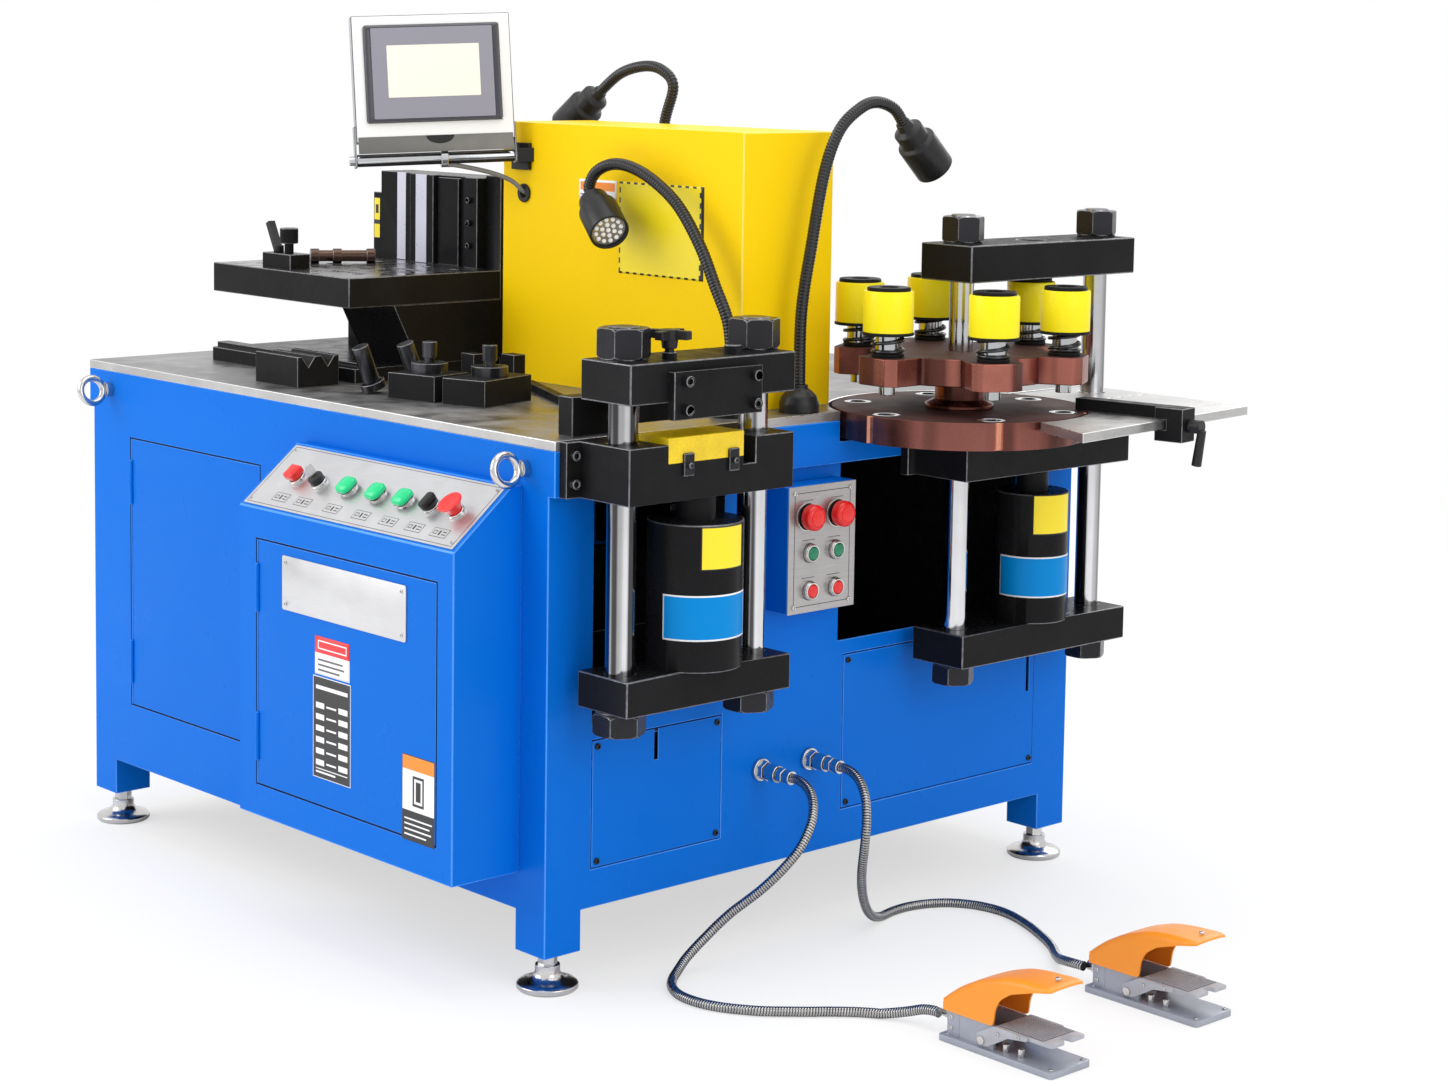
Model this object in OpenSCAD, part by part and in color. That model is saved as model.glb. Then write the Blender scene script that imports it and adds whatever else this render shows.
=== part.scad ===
// Busbar processing machine: a steel cabinet that carries a shearing press, a six-station
// turret punching press and a bending bench, with a control desk, a screen and two foot pedals.
// Origin: on the floor, in the middle of the machine's footprint. +Z up, -Y front (desk side),
// +X the side with the two presses.

/* [Cabinet] */
// Length of the table top along X
table_x = 1318; // [1050:1:1600]
// Width of the table top along Y
table_y = 1182; // [1150:1:1450]
// Height of the table surface above the floor
table_h = 838; // [760:1:1010]
// Thickness of the table top
table_t = 15; // [8:1:20]
// Height of the top beam under the table top
beam_h = 69; // [50:1:90]
// Side of the square posts
post = 70; // [50:1:90]
// How far the press-side wall lies behind the top beam
wall_in = 14; // [8:1:20]
// Height of the legs' lower ends
leg_z = 58; // [45:1:75]
// Height of the lower edge of the side walls
skirt_z = 121; // [100:1:150]
// Sheet thickness of walls, doors and covers
sheet = 3; // [2:0.5:5]

/* [Control desk] */
// Left edge of the desk, measured back from the corner post
desk_l = 637; // [560:1:680]
// Right edge of the desk, measured back from the corner post
desk_r = 75; // [60:1:110]
// Depth of the desk in front of the cabinet
desk_d = 127; // [110:1:160]
// Height of the sloped panel's upper edge below the table surface
desk_top = 72; // [60:1:90]
// Height of the sloped panel's lower edge below the table surface
desk_lip = 161; // [140:1:180]
// Height of the desk's floor below the table surface
desk_floor = 659; // [560:1:690]
// Diameter of a control device's collar
collar_d = 29; // [26:1:32]

/* [Side button box] */
// Near edge of the box, measured along Y from the corner
sbox_y = 443; // [400:1:470]
// Width of the box along Y
sbox_w = 147; // [130:1:160]
// Height of the box
sbox_h = 202; // [180:1:220]
// Depth of the box
sbox_d = 48; // [35:1:60]
// Height of the box's top below the table surface
sbox_top = 106; // [95:1:130]

/* [Shearing press] */
// Middle of the press along Y, measured from the corner
cut_y = 197; // [190:1:230]
// Length of the press blocks along Y
cut_len = 328; // [300:1:340]
// Width of the press blocks along X
block_w = 111; // [100:1:125]
// Gap between the top beam and the press blocks
block_gap = 17; // [14:1:24]
// Distance between the two columns
cut_span = 260; // [240:1:268]
// Column diameter
cut_col_d = 45; // [36:1:52]
// Diameter of the cylinder
cut_cyl_d = 145; // [120:1:150]
// Stroke of both presses
stroke = 34; // [20:1:34]

/* [Punching press] */
// Near column and turret axis along Y, measured from the corner
turret_y = 788; // [780:1:810]
// Distance between the two columns
punch_span = 333; // [320:1:345]
// Column diameter
punch_col_d = 40; // [32:1:46]
// Diameter of the cylinder
punch_cyl_d = 122; // [100:1:130]
// Radius of the circle on which the punches stand
punch_r = 170; // [160:1:176]
// Radius of the die disc
disc_r = 207; // [200:1:210]
// Thickness of the die disc
disc_t = 44; // [36:1:46]
// Diameter of the punch heads' sleeves
head_d = 78; // [60:1:78]

/* [Bending bench] */
// Length of the platform along X
bench_x = 416; // [360:1:440]
// Width of the platform along Y
bench_y = 323; // [280:1:340]
// Height of the platform's surface above the table
bench_h = 180; // [160:1:200]
// Thickness of the platform
bench_t = 51; // [40:1:60]

/* [Electric cabinet] */
// Length of the yellow cabinet along X
ecab_x = 606; // [500:1:640]
// Depth of the yellow cabinet along Y
ecab_y = 198; // [160:1:260]
// Height of the yellow cabinet above the table
ecab_h = 443; // [400:1:480]

/* [Foot pedals] */
// Reach of the pedals in front of the press side
pedal_reach = 700; // [640:1:760]
// Length of a pedal's base
pedal_l = 214; // [190:1:240]
// Width of a pedal's base
pedal_w = 86; // [76:1:96]

/* [Hidden] */
$fn = 48;

clear = 0.3;            // gap between curved faces that move on each other
seam = 2;               // gap round doors and covers
lap = 8;                // width by which a rebate reaches behind a door or cover
zt = table_h;

// Lifting eyes: middle radius of the ring, its wire and its reach past the beam.
eye_r = 22;
eye_wire = 12;
eye_reach = 2 * eye_r + 15 + eye_wire / 2;
eye_x = [-table_x + 71, -68];
eye_z = zt - 47;

// Corner of the table top between the desk side and the press side.
corner_x = (table_x - pedal_reach) / 2;
corner_y = -(table_y + eye_reach - desk_d) / 2;
beam_z = zt - table_t - beam_h;

// Middles of the presses' columns and the punching press's line of work.
press_x = block_gap + block_w / 2;
press_front = block_gap + block_w;
punch_mid = turret_y + punch_span / 2;
stations = 6;
// Cable glands of the foot pedals in the press-side wall.
glands_y = [436, 543];
gland_z = zt - 561;
gland_d = 24;

// Places measured from the corner: x runs back along the desk side as negative values.
module at_corner(x = 0, y = 0, z = 0) {
    translate([corner_x + x, corner_y + y, z]) children();
}

// Box between two corners, in the corner's frame.
module block(x0, x1, y0, y1, z0, z1) {
    at_corner(x0, y0, z0) cube([x1 - x0, y1 - y0, z1 - z0]);
}

// Upright round bar in the corner's frame.
module bar(x, y, z0, z1, r) {
    at_corner(x, y, z0) cylinder(h = z1 - z0, r = r);
}

module hex_nut(af, h, bore) {
    difference() {
        intersection() {
            cylinder(h = h, d = af * 2 / sqrt(3), $fn = 6);
            cylinder(h = h, r1 = af * 0.56 + h * 0.9, r2 = af * 0.53);
            cylinder(h = h, r1 = af * 0.53, r2 = af * 0.56 + h * 0.9);
        }
        translate([0, 0, -1]) cylinder(h = h + 2, d = bore);
    }
}

module cap_screw(d, len) {
    difference() {
        cylinder(h = d, d = d * 1.5);
        translate([0, 0, d * 0.5]) cylinder(h = d, d = d * 0.9, $fn = 6);
    }
    translate([0, 0, -len]) cylinder(h = len + 0.01, d = d);
}

// ---- cabinet -------------------------------------------------------------------------
post_x = [-table_x + wall_in, -wall_in - post];       // left faces of the posts
post_y = [0, table_y - post - 4];                     // near faces of the posts
wall_x = -wall_in;                                    // outer face of the press-side wall

// Opening of the small door in the desk-side wall.
door_x0 = -table_x + 142;
door_x1 = door_x0 + 407;
door_z0 = zt - 606;
door_z1 = zt - 126;

// Shearing press niche and the punching press cavity in the press-side wall.
niche_y0 = post - 2;
niche_y1 = cut_y + cut_len / 2 - 8;
niche_z = zt - 436;
cavity_y0 = turret_y - 183;
cavity_y1 = post_y[1] - 4;
cavity_z = zt - 377;
cover_z = zt - 658;
// Openings behind the two slotted covers: [near y, far y, lower z, upper z].
press_covers = [[niche_y0 + 20, niche_y1, cover_z, niche_z - 24],
                [cavity_y0 + 14, cavity_y1 - 12, cover_z, cavity_z - 24]];

// Strips behind the edge of an opening in a wall that faces the desk side or the press side.
module rebate_y(x0, x1, y, z0, z1) difference() {
    block(x0 - 15, x1 + 15, y, y + 4, z0 - 15, z1 + 15);
    block(x0 + lap, x1 - lap, y - 1, y + 5, z0 + lap, z1 - lap);
}
module rebate_x(x, y0, y1, z0, z1) difference() {
    block(x - 4, x, y0 - 15, y1 + 15, z0 - 15, z1 + 15);
    block(x - 5, x + 1, y0 + lap, y1 - lap, z0 + lap, z1 - lap);
}

module cabinet_frame() color("royalblue") {
    difference() {
        union() {
            for (x = post_x, y = post_y)
                block(x, x + post, y, y + post, leg_z, beam_z + 1);
            // ring of top beams
            difference() {
                block(-table_x, 0, 0, table_y, beam_z, zt - table_t);
                block(-table_x + post, -post, post, table_y - post, beam_z - 1, zt);
            }
            // desk-side wall with its door opening
            difference() {
                block(post_x[0] + post, post_x[1], 0, sheet, skirt_z, beam_z);
                block(door_x0, door_x1, -1, sheet + 1, door_z0, door_z1);
                block(-desk_l + 20, -desk_r - 20, -1, sheet + 1, zt - desk_floor + 20, zt - 110);
            }
            // rebate strips behind the door's edge
            rebate_y(door_x0, door_x1, sheet, door_z0, door_z1);
            // press-side wall
            difference() {
                block(wall_x - sheet, wall_x, post, post_y[1], skirt_z, beam_z);
                block(wall_x - 9, wall_x + 9, niche_y0 + 20, niche_y1, niche_z, beam_z + 1);
                block(wall_x - 9, wall_x + 9, cavity_y0, cavity_y1 - 12, cavity_z, beam_z + 1);
                for (c = press_covers) block(wall_x - 9, wall_x + 9, c[0], c[1], c[2], c[3]);
            }
            for (c = press_covers) rebate_x(wall_x - sheet, c[0], c[1], c[2], c[3]);
            // bottom rails inside the walls and the floor sheet
            block(post_x[0], post_x[1] + post, sheet, 40, skirt_z, skirt_z + 40);
            block(post_x[0], post_x[1] + post, post_y[1] + 20, post_y[1] + 60, skirt_z, skirt_z + 40);
            block(post_x[0] + 5, post_x[0] + 45, 20, post_y[1] + 20, skirt_z, skirt_z + 40);
            block(wall_x - 43, wall_x - sheet, 20, post_y[1] + 20, skirt_z, skirt_z + 40);
            block(post_x[0] + 20, wall_x - 20, 20, post_y[1] + 40, skirt_z + 40, skirt_z + 43);
        }
        turret_well();
        for (x = post_x, y = post_y)
            bar(x + post / 2, y + post / 2, leg_z - 1, leg_z + 60, stud_d / 2);
        for (y = glands_y)
            at_corner(wall_x - 30, y, gland_z) rotate([0, 90, 0]) cylinder(h = 40, d = gland_d);
        for (x = eye_x, y = [-1, table_y - 24])
            at_corner(x, y, eye_z) rotate([-90, 0, 0]) cylinder(h = 25, d = eye_wire + 0.4);
        hinge_room(door_x0, 0, door_z0, door_z1, true);
    }
    hinge_fixed(door_x0, 0, door_z0, door_z1);
}

// Round recess that lets the die disc turn inside the table's edge.
module turret_well() {
    bar(press_x, turret_y, zt - disc_t - 5, zt + 1, disc_r + 6);
}

module table_top() color("silver") difference() {
    block(-table_x, 0, 0, table_y, zt - table_t, zt);
    turret_well();
}

// Slots in the covers: [y, lower z, upper z].
slots = [[cut_y + 20, zt - 510, niche_z], [punch_mid + 120, zt - 528, zt - 466]];
// Loose sheet covers: two slotted panels under the presses, the rear and the left side.
module cover_panels() color("mediumblue") {
    for (i = [0, 1]) let (c = press_covers[i]) difference() {
        block(wall_x - sheet, wall_x, c[0] + seam, c[1] - seam, c[2] + seam, c[3] - seam);
        block(wall_x - 9, wall_x + 9, slots[i][0] - 4, slots[i][0] + 4, slots[i][1], slots[i][2]);
    }
    block(post_x[0] + post, post_x[1], table_y - sheet - 4, table_y - 4, skirt_z, beam_z);
    block(post_x[0], post_x[0] + sheet, post, post_y[1], skirt_z, beam_z);
}

stud_d = 20;
foot_r = 47;
module foot() {
    rotate_extrude() polygon([[0, 0], [foot_r - 3, 0], [foot_r, 3], [foot_r, 9], [foot_r - 4, 12],
                              [27, 16], [19, 26], [19, 38], [0, 38]]);
    translate([0, 0, 37]) cylinder(h = leg_z - 37 - clear, d = 30, $fn = 6);
    translate([0, 0, leg_z - clear - 1]) cylinder(h = 50, d = stud_d - 2 * clear);
}
module levelling_feet() color("lightgray")
    for (x = post_x, y = post_y) at_corner(x + post / 2, y + post / 2) foot();

// Lifting eyes screwed into the desk-side and rear beams.
module eye_bolt() {
    rotate([-90, 0, 0]) {
        translate([0, 0, -12]) cylinder(h = 12, d = 26);
        translate([0, 0, -1]) cylinder(h = 22, d = 12);
    }
    translate([0, -eye_r - 15, 0]) rotate_extrude() translate([eye_r, 0]) circle(d = eye_wire);
}
module eye_bolts() color("lightgray") {
    for (x = eye_x) {
        at_corner(x, 0, eye_z) rotate([0, 78, 0]) eye_bolt();
        at_corner(x, table_y, eye_z) rotate([0, 78, 180]) eye_bolt();
    }
}

// ---- control desk and side button box -------------------------------------------------
slope_a = atan2(desk_lip - desk_top, desk_d - 19);
slope_y = -(19 + desk_d) / 2;
slope_z = zt - (desk_top + desk_lip) / 2;
slope_len = norm([desk_lip - desk_top, desk_d - 19]);
plate_t = 1.5;
side_mid = sbox_y + sbox_w / 2;
side_x = sbox_d - wall_in;                            // outer face of the side box
desk_door_x0 = -desk_l + 53;
desk_door_x1 = -desk_r - 38;
desk_door_z0 = zt - 607;
desk_door_z1 = zt - 209;

// Desk devices from left to right: lamp button, key, three starts, selector, stop.
desk_dev_x = [-550, -490, -410, -334, -264, -198, -136];
// Side box devices, [y from the middle, height]: two stops, two starts, two resets.
side_dev = [[-33, zt - 155], [33, zt - 155], [-28, zt - 213], [28, zt - 213],
            [-28, zt - 273], [28, zt - 273]];

module on_slope(x) at_corner(x, slope_y, slope_z) rotate([slope_a, 0, 0]) children();
module on_side(i) at_corner(side_x, side_mid + side_dev[i][0], side_dev[i][1])
    rotate([0, 90, 0]) children();
module along_x(x0, x1) at_corner(x0, 0, 0) rotate([90, 0, 90]) linear_extrude(x1 - x0) children();
module desk_outline() polygon([[0, zt - desk_top], [-19, zt - desk_top], [-desk_d, zt - desk_lip],
    [-desk_d, zt - desk_floor], [0, zt - desk_floor]]);

module control_boxes() color("royalblue") {
    difference() {
        along_x(-desk_l, -desk_r) desk_outline();
        along_x(-desk_l + sheet, -desk_r - sheet) polygon([[1, zt - desk_top - sheet],
            [-19, zt - desk_top - sheet], [-desk_d + sheet, zt - desk_lip - sheet],
            [-desk_d + sheet, zt - desk_floor + sheet], [1, zt - desk_floor + sheet]]);
        block(desk_door_x0, desk_door_x1, -desk_d - 1, -desk_d + sheet + 1, desk_door_z0, desk_door_z1);
        for (x = desk_dev_x) on_slope(x) translate([0, 0, -8]) cylinder(h = 12, d = 25);
        hinge_room(desk_door_x0, -desk_d, desk_door_z0, desk_door_z1, true);
    }
    rebate_y(desk_door_x0, desk_door_x1, -desk_d + sheet, desk_door_z0, desk_door_z1);
    hinge_fixed(desk_door_x0, -desk_d, desk_door_z0, desk_door_z1);
    difference() {
        block(-wall_in, side_x, sbox_y, sbox_y + sbox_w, zt - sbox_top - sbox_h, zt - sbox_top);
        block(-wall_in - 1, side_x - 2, sbox_y + 2, sbox_y + sbox_w - 2,
              zt - sbox_top - sbox_h + 2, zt - sbox_top - 2);
        for (i = [0:5]) on_side(i) translate([0, 0, -8]) cylinder(h = 12, d = 25);
    }
}

// Hinge with its pin just in front of the door's left edge. Fixed knuckles at both ends
// of the door and one long knuckle on the door between each pair.
hinge_r = 3.4;
pin_r = 1.6;
knuckle = 26;
module hinge_at(x, y) at_corner(x + 1, y - 1.2, 0) children();
function hinge_zs(z0, z1) = [z0 + 40, z1 - 40 - 3 * knuckle];
module hinge_room(x, y, z0, z1, fixed) {
    for (z = hinge_zs(z0, z1)) hinge_at(x, y)
        if (fixed) translate([0, 0, z + knuckle - 0.6]) cylinder(h = knuckle + 1.2, r = hinge_r + 0.8);
        else {
            for (k = [0, 2]) translate([0, 0, z + k * knuckle - 0.6])
                cylinder(h = knuckle + 1.2, r = hinge_r + 0.8);
            translate([0, 0, z]) cylinder(h = 3 * knuckle, r = pin_r + 0.2);
        }
}
module hinge_fixed(x, y, z0, z1) {
    for (z = hinge_zs(z0, z1)) hinge_at(x, y) {
        for (k = [0, 2]) translate([0, 0, z + k * knuckle]) {
            cylinder(h = knuckle, r = hinge_r);
            translate([-hinge_r - 3, 0.2, 0]) cube([hinge_r + 3, 3, knuckle]);
        }
        translate([0, 0, z]) cylinder(h = 3 * knuckle, r = pin_r);
    }
}
module hinge_moving(x, y, z0, z1) {
    for (z = hinge_zs(z0, z1)) hinge_at(x, y) difference() {
        translate([0, 0, z + knuckle + clear]) {
            cylinder(h = knuckle - 2 * clear, r = hinge_r);
            translate([0, 1.2, 0]) cube([hinge_r + 4, sheet - 0.5, knuckle - 2 * clear]);
        }
        translate([0, 0, z]) cylinder(h = 3 * knuckle, r = pin_r + 0.2);
    }
}
// Sheet door with folded edges, hung on the hinges above.
module door(x0, x1, y, z0, z1) {
    fold = seam + lap;
    difference() {
        block(x0 + seam, x1 - seam, y, y + sheet, z0 + seam, z1 - seam);
        hinge_room(x0, y, z0, z1, false);
    }
    difference() {
        block(x0 + fold, x1 - fold, y + sheet - 1, y + 14, z0 + fold, z1 - fold);
        block(x0 + fold + sheet, x1 - fold - sheet, y, y + 15, z0 + fold + sheet, z1 - fold - sheet);
    }
    hinge_moving(x0, y, z0, z1);
}
module cabinet_door() color("royalblue") door(door_x0, door_x1, 0, door_z0, door_z1);
module desk_door() color("royalblue")
    door(desk_door_x0, desk_door_x1, -desk_d, desk_door_z0, desk_door_z1);

// Stainless plates with their devices' collars.
cap_d = collar_d - 8;
module collar() difference() {
    translate([0, 0, plate_t - 0.2]) {
        cylinder(h = 3.2, d = collar_d);
        cylinder(h = 5.2, d = collar_d - 3);
    }
    translate([0, 0, -9]) cylinder(h = 20, d = cap_d + 2 * clear);
}
module control_plates() color("gainsboro") {
    difference() {
        on_slope(0) translate([-desk_l + 8, -slope_len / 2 + 5, 0])
            cube([desk_l - desk_r - 16, slope_len - 10, plate_t]);
        for (x = desk_dev_x) on_slope(x) translate([0, 0, -1]) cylinder(h = 4, d = cap_d + 2 * clear);
    }
    for (x = desk_dev_x) on_slope(x) collar();
    difference() {
        block(side_x, side_x + plate_t, sbox_y, sbox_y + sbox_w, zt - sbox_top - sbox_h, zt - sbox_top);
        for (i = [0:5]) on_side(i) translate([0, 0, -1]) cylinder(h = 4, d = cap_d + 2 * clear);
    }
    for (i = [0:5]) on_side(i) collar();
}

// Push parts: a cap on a plunger that runs through the collar.
module plunger() translate([0, 0, -22]) cylinder(h = 28, d = cap_d);
module flat_cap() {
    plunger();
    translate([0, 0, 5]) cylinder(h = 4.5, r1 = cap_d / 2, r2 = cap_d / 2 - 1);
}
module mushroom_cap() {
    plunger();
    translate([0, 0, 5]) cylinder(h = 8, d = cap_d - 2);
    translate([0, 0, 12]) rotate_extrude() polygon([[0, 0], [19, 0], [20, 1], [20, 9], [17, 13],
                                                   [12, 14], [0, 14.4]]);
}
module red_button() color("crimson") on_slope(desk_dev_x[0]) {
    plunger();
    translate([0, 0, 5]) cylinder(h = 7, d = cap_d);
    translate([-11, -11, 11]) cube([22, 22, 9]);
}
module key_switch() color("dimgray") on_slope(desk_dev_x[1]) {
    plunger();
    translate([0, 0, 5]) cylinder(h = 9, d = cap_d);
    translate([-1.2, -9, 14]) cube([2.4, 18, 16]);
    translate([0, 0, 13]) cylinder(h = 6, d = 12);
}
module green_button(i) color("seagreen") on_slope(desk_dev_x[1 + i]) {
    plunger();
    translate([0, 0, 5]) cylinder(h = 7, d = cap_d);
    translate([0, 0, 9.8]) linear_extrude(7.5) offset(6) square(18, center = true);
}
module selector_knob() color("black") on_slope(desk_dev_x[5]) {
    plunger();
    translate([0, 0, 5]) cylinder(h = 5, d = cap_d);
    translate([0, 0, 8]) cylinder(h = 7, d = collar_d - 2);
    translate([-5, -15, 14]) cube([10, 30, 12]);
}
module stop_mushroom() color("crimson") on_slope(desk_dev_x[6]) mushroom_cap();
module box_button(i) color(i < 2 ? "crimson" : i < 4 ? "seagreen" : "red") on_side(i)
    if (i < 2) mushroom_cap(); else flat_cap();

// ---- inside the cabinet: tank, motor, pump and valve block ------------------------------
module power_pack() color("dimgray") {
    difference() {
        block(-1120, -560, 420, 800, skirt_z + 43, skirt_z + 273);
        block(-1114, -566, 426, 794, skirt_z + 49, skirt_z + 267);
        bar(-1060, 760, skirt_z + 260, skirt_z + 280, 24);
    }
    bar(-1060, 760, skirt_z + 262, skirt_z + 296, 23.6);
    at_corner(-1080, 600, skirt_z + 380) rotate([0, 90, 0]) {
        cylinder(h = 260, r = 88);
        translate([0, 0, 259]) cylinder(h = 40, r = 70);
        translate([0, 0, 298]) cylinder(h = 110, r = 42);
    }
    block(-1040, -870, 560, 640, skirt_z + 272, skirt_z + 320);
    block(-760, -720, 540, 660, skirt_z + 272, skirt_z + 350);
    block(-600, -566, 450, 780, skirt_z + 272, zt - 300);
    block(-640, -440, 620, 780, zt - 301, zt - 211);
    // valve fittings that reach toward the punching press
    at_corner(-441, 700, zt - 258) rotate([0, 90, 0]) {
        cylinder(h = 210, r = 16);
        translate([0, 0, 209]) cylinder(h = 60, r = 24);
        translate([0, 0, 268]) cylinder(h = 70, r = 17);
    }
}

// ---- shearing press --------------------------------------------------------------------
cut_y0 = cut_y - cut_len / 2;
cut_y1 = cut_y + cut_len / 2;
cut_cols = [cut_y - cut_span / 2, cut_y + cut_span / 2];
cyl_x = press_x + 17;                                 // the cylinders stand a little forward
mid_h = 84;                                           // depth of the middle block
top_z0 = zt + 62;
top_z1 = zt + 122;
low_z0 = zt - 394;
low_z1 = zt - 340;
cut_bore = cut_col_d + 2 * clear;
nut_af = 70;
mid_front = press_front - 0.6;
edge_x = press_x - 12;                                // line of the shear's two edges

module press_block(y0, y1, z0, z1, front = press_front) block(block_gap, front, y0, y1, z0, z1);

module cut_middle_block() color("black") {
    difference() {
        press_block(cut_y0, cut_y1, zt - mid_h, zt, mid_front);
        for (y = cut_cols) bar(press_x, y, zt - mid_h - 1, zt + 1, cut_bore / 2);
        block(edge_x - 22, edge_x, cut_y - 95, cut_y + 65, zt - 42, zt + 1);
        block(edge_x - 1, press_front, cut_y - 89, cut_y + 85, zt - 28, zt + 1);
        block(edge_x + 40, press_front, cut_y + 60, cut_y + 85, zt - 40, zt + 1);
    }
    // mounting plate and guide block
    block(0, block_gap, cut_y0 - 25, cut_y1 + 25, zt - mid_h, zt);
    block(-50, -17, cut_y0 + 13, cut_y0 + 84, zt, zt + 60);
    for (y = [cut_y0 - 13, cut_y1 + 13], z = [-20, -62])
        at_corner(block_gap, y, zt + z) rotate([0, 90, 0]) cap_screw(10, 12);
    // yellow lower blade carrier and its clips
    block(edge_x, mid_front, cut_y - 89, cut_y + 60, zt - 28, zt + 10);
    for (y = [-52, 38]) {
        block(mid_front, mid_front + 5, cut_y + y - 10, cut_y + y + 10, zt - 48, zt - 14);
        at_corner(mid_front + 4, cut_y + y, zt - 32) rotate([0, 90, 0]) cylinder(h = 6, d = 9);
    }
}

module press_nut(h, af, bore) {
    difference() {
        cylinder(h = 4, d = af + 2);
        translate([0, 0, -1]) cylinder(h = 6, d = bore);
    }
    translate([0, 0, 4]) hex_nut(af, h - 4, bore);
}
module columns(ys, d, z0, z1, blocks, h, low_h, af) color("silver") for (y = ys) {
    bar(press_x, y, z0, z1, d / 2);
    at_corner(press_x, y, blocks[1]) press_nut(h, af, d + 0.1);
    at_corner(press_x, y, blocks[0]) mirror([0, 0, 1]) press_nut(low_h, af, d + 0.1);
}
module cut_columns()
    columns(cut_cols, cut_col_d, low_z0 - 38, top_z1 + 50, [low_z0, top_z1], 48, 36, nut_af);

module cut_top_block() color("black") {
    difference() {
        press_block(cut_y0, cut_y1, top_z0, top_z1);
        for (y = cut_cols) bar(press_x, y, top_z0 - 1, top_z1 + 1, cut_col_d / 2 + 0.05);
        bar(press_x + 21, cut_y - 60, top_z1 - 30, top_z1 + 1, 7 + clear);
    }
    difference() {
        bar(press_x + 21, cut_y - 60, top_z1, top_z1 + 10, 11);
        bar(press_x + 21, cut_y - 60, top_z1 - 1, top_z1 + 11, 7 + clear);
    }
    bar(press_x + 25, cut_y + 63, top_z1, top_z1 + 14, 13);
}
module cut_knob() color("black") at_corner(press_x + 21, cut_y - 60, top_z1) {
    translate([0, 0, -28]) cylinder(h = 56, r = 7);
    translate([0, 0, 15]) cylinder(h = 14, r1 = 11, r2 = 13);
    translate([0, 0, 28]) cylinder(h = 15, r = 15);
    for (a = [0:90:270]) rotate(a + 20) translate([0, -7, 29]) cube([34, 14, 13]);
}
module cut_cylinder() color("dimgray") {
    difference() {
        press_block(cut_y0, cut_y1, low_z0, low_z1);
        for (y = cut_cols) bar(press_x, y, low_z0 - 1, low_z1 + 1, cut_col_d / 2 + 0.05);
    }
    cylinder_shell(cut_y, cut_cyl_d, low_z1, zt - 120, 60, cut_cols, cut_col_d);
}
// Hydraulic cylinder with the rod's gland at its top. Its flanks clear the columns.
module cylinder_shell(y, d, z0, z1, rod, cols, col_d) difference() {
    bar(cyl_x, y, z0, z1, d / 2);
    bar(cyl_x, y, z0 + 12, z1 - 40, d / 2 - 18);
    bar(cyl_x, y, z1 - 41, z1 + 1, rod / 2 + clear);
}
module piston(y, d, z0, z1, rod) {
    bar(cyl_x, y, z0 + 80, z1, rod / 2);
    bar(cyl_x, y, z0 + 60, z0 + 90, d / 2 - 18 - clear);
}
module press_pistons() color("gray") {
    piston(cut_y, cut_cyl_d, low_z1, zt - mid_h, 60);
    piston(punch_mid, punch_cyl_d, plow_z1, pmid_z0, 52);
}

// Upper blade with its holder: front plate, cap screws and the knife under the top block.
module cut_blade_holder() color("black") {
    block(press_front, press_front + 14, cut_y - 92, cut_y + 83, zt + 37, zt + 108);
    for (y = [-70, 66], z = [52, 94])
        at_corner(press_front + 14, cut_y + y, zt + z) rotate([0, 90, 0]) cap_screw(11, 12);
    block(edge_x - 19, edge_x - 0.6, cut_y - 89, cut_y + 61, zt + 25, top_z0);
}

// ---- punching press ---------------------------------------------------------------------
pblock_y0 = turret_y - 39;
pblock_y1 = turret_y + punch_span + 36;
punch_cols = [turret_y, turret_y + punch_span];
pmid_z0 = zt - 115;
pmid_z1 = zt - disc_t - 2;
plow_z0 = zt - 421;
plow_z1 = zt - 366;
ptop_z0 = zt + 206;
ptop_z1 = zt + 266;
col_r = punch_col_d / 2;
pnut_af = 62;

module punch_middle_block() color("black") {
    difference() {
        union() {
            press_block(pblock_y0, pblock_y1, pmid_z0, pmid_z1);
            bar(press_x, turret_y, pmid_z1 - 1, zt - disc_t, 52);
        }
        for (y = punch_cols) bar(press_x, y, pmid_z0 - 1, zt, col_r + clear);
        bar(press_x, turret_y + punch_r, pmid_z0 + 20, zt, 20);
    }
    block(0, block_gap, pblock_y0 - 20, pblock_y1 - 10, pmid_z0, pmid_z1 - 6);
}
module punch_top_block() color("black") difference() {
    press_block(pblock_y0, pblock_y1, ptop_z0, ptop_z1);
    for (y = punch_cols) bar(press_x, y, ptop_z0 - 1, ptop_z1 + 1, col_r + 0.05);
    bar(press_x, punch_mid, ptop_z1 - 4, ptop_z1 + 1, 24);
}
module punch_columns()
    columns(punch_cols, punch_col_d, plow_z0 - 37, ptop_z1 + 47, [plow_z0, ptop_z1], 44, 35, pnut_af);
module punch_cylinder() color("dimgray") {
    difference() {
        press_block(pblock_y0, pblock_y1, plow_z0, plow_z1);
        for (y = punch_cols) bar(press_x, y, plow_z0 - 1, plow_z1 + 1, col_r + 0.05);
    }
    cylinder_shell(punch_mid, punch_cyl_d, plow_z1, zt - 150, 52, punch_cols, punch_col_d);
}

// ---- turret: star with the punches over a disc with the dies ------------------------------
star_z0 = zt + 48;
star_z1 = zt + 92;
ram_r = 20;
die_r = 22;
tip_r = 13;
module at_station(k) at_corner(press_x, turret_y) rotate(90 + k * 360 / stations)
    translate([punch_r, 0, 0]) children();

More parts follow.
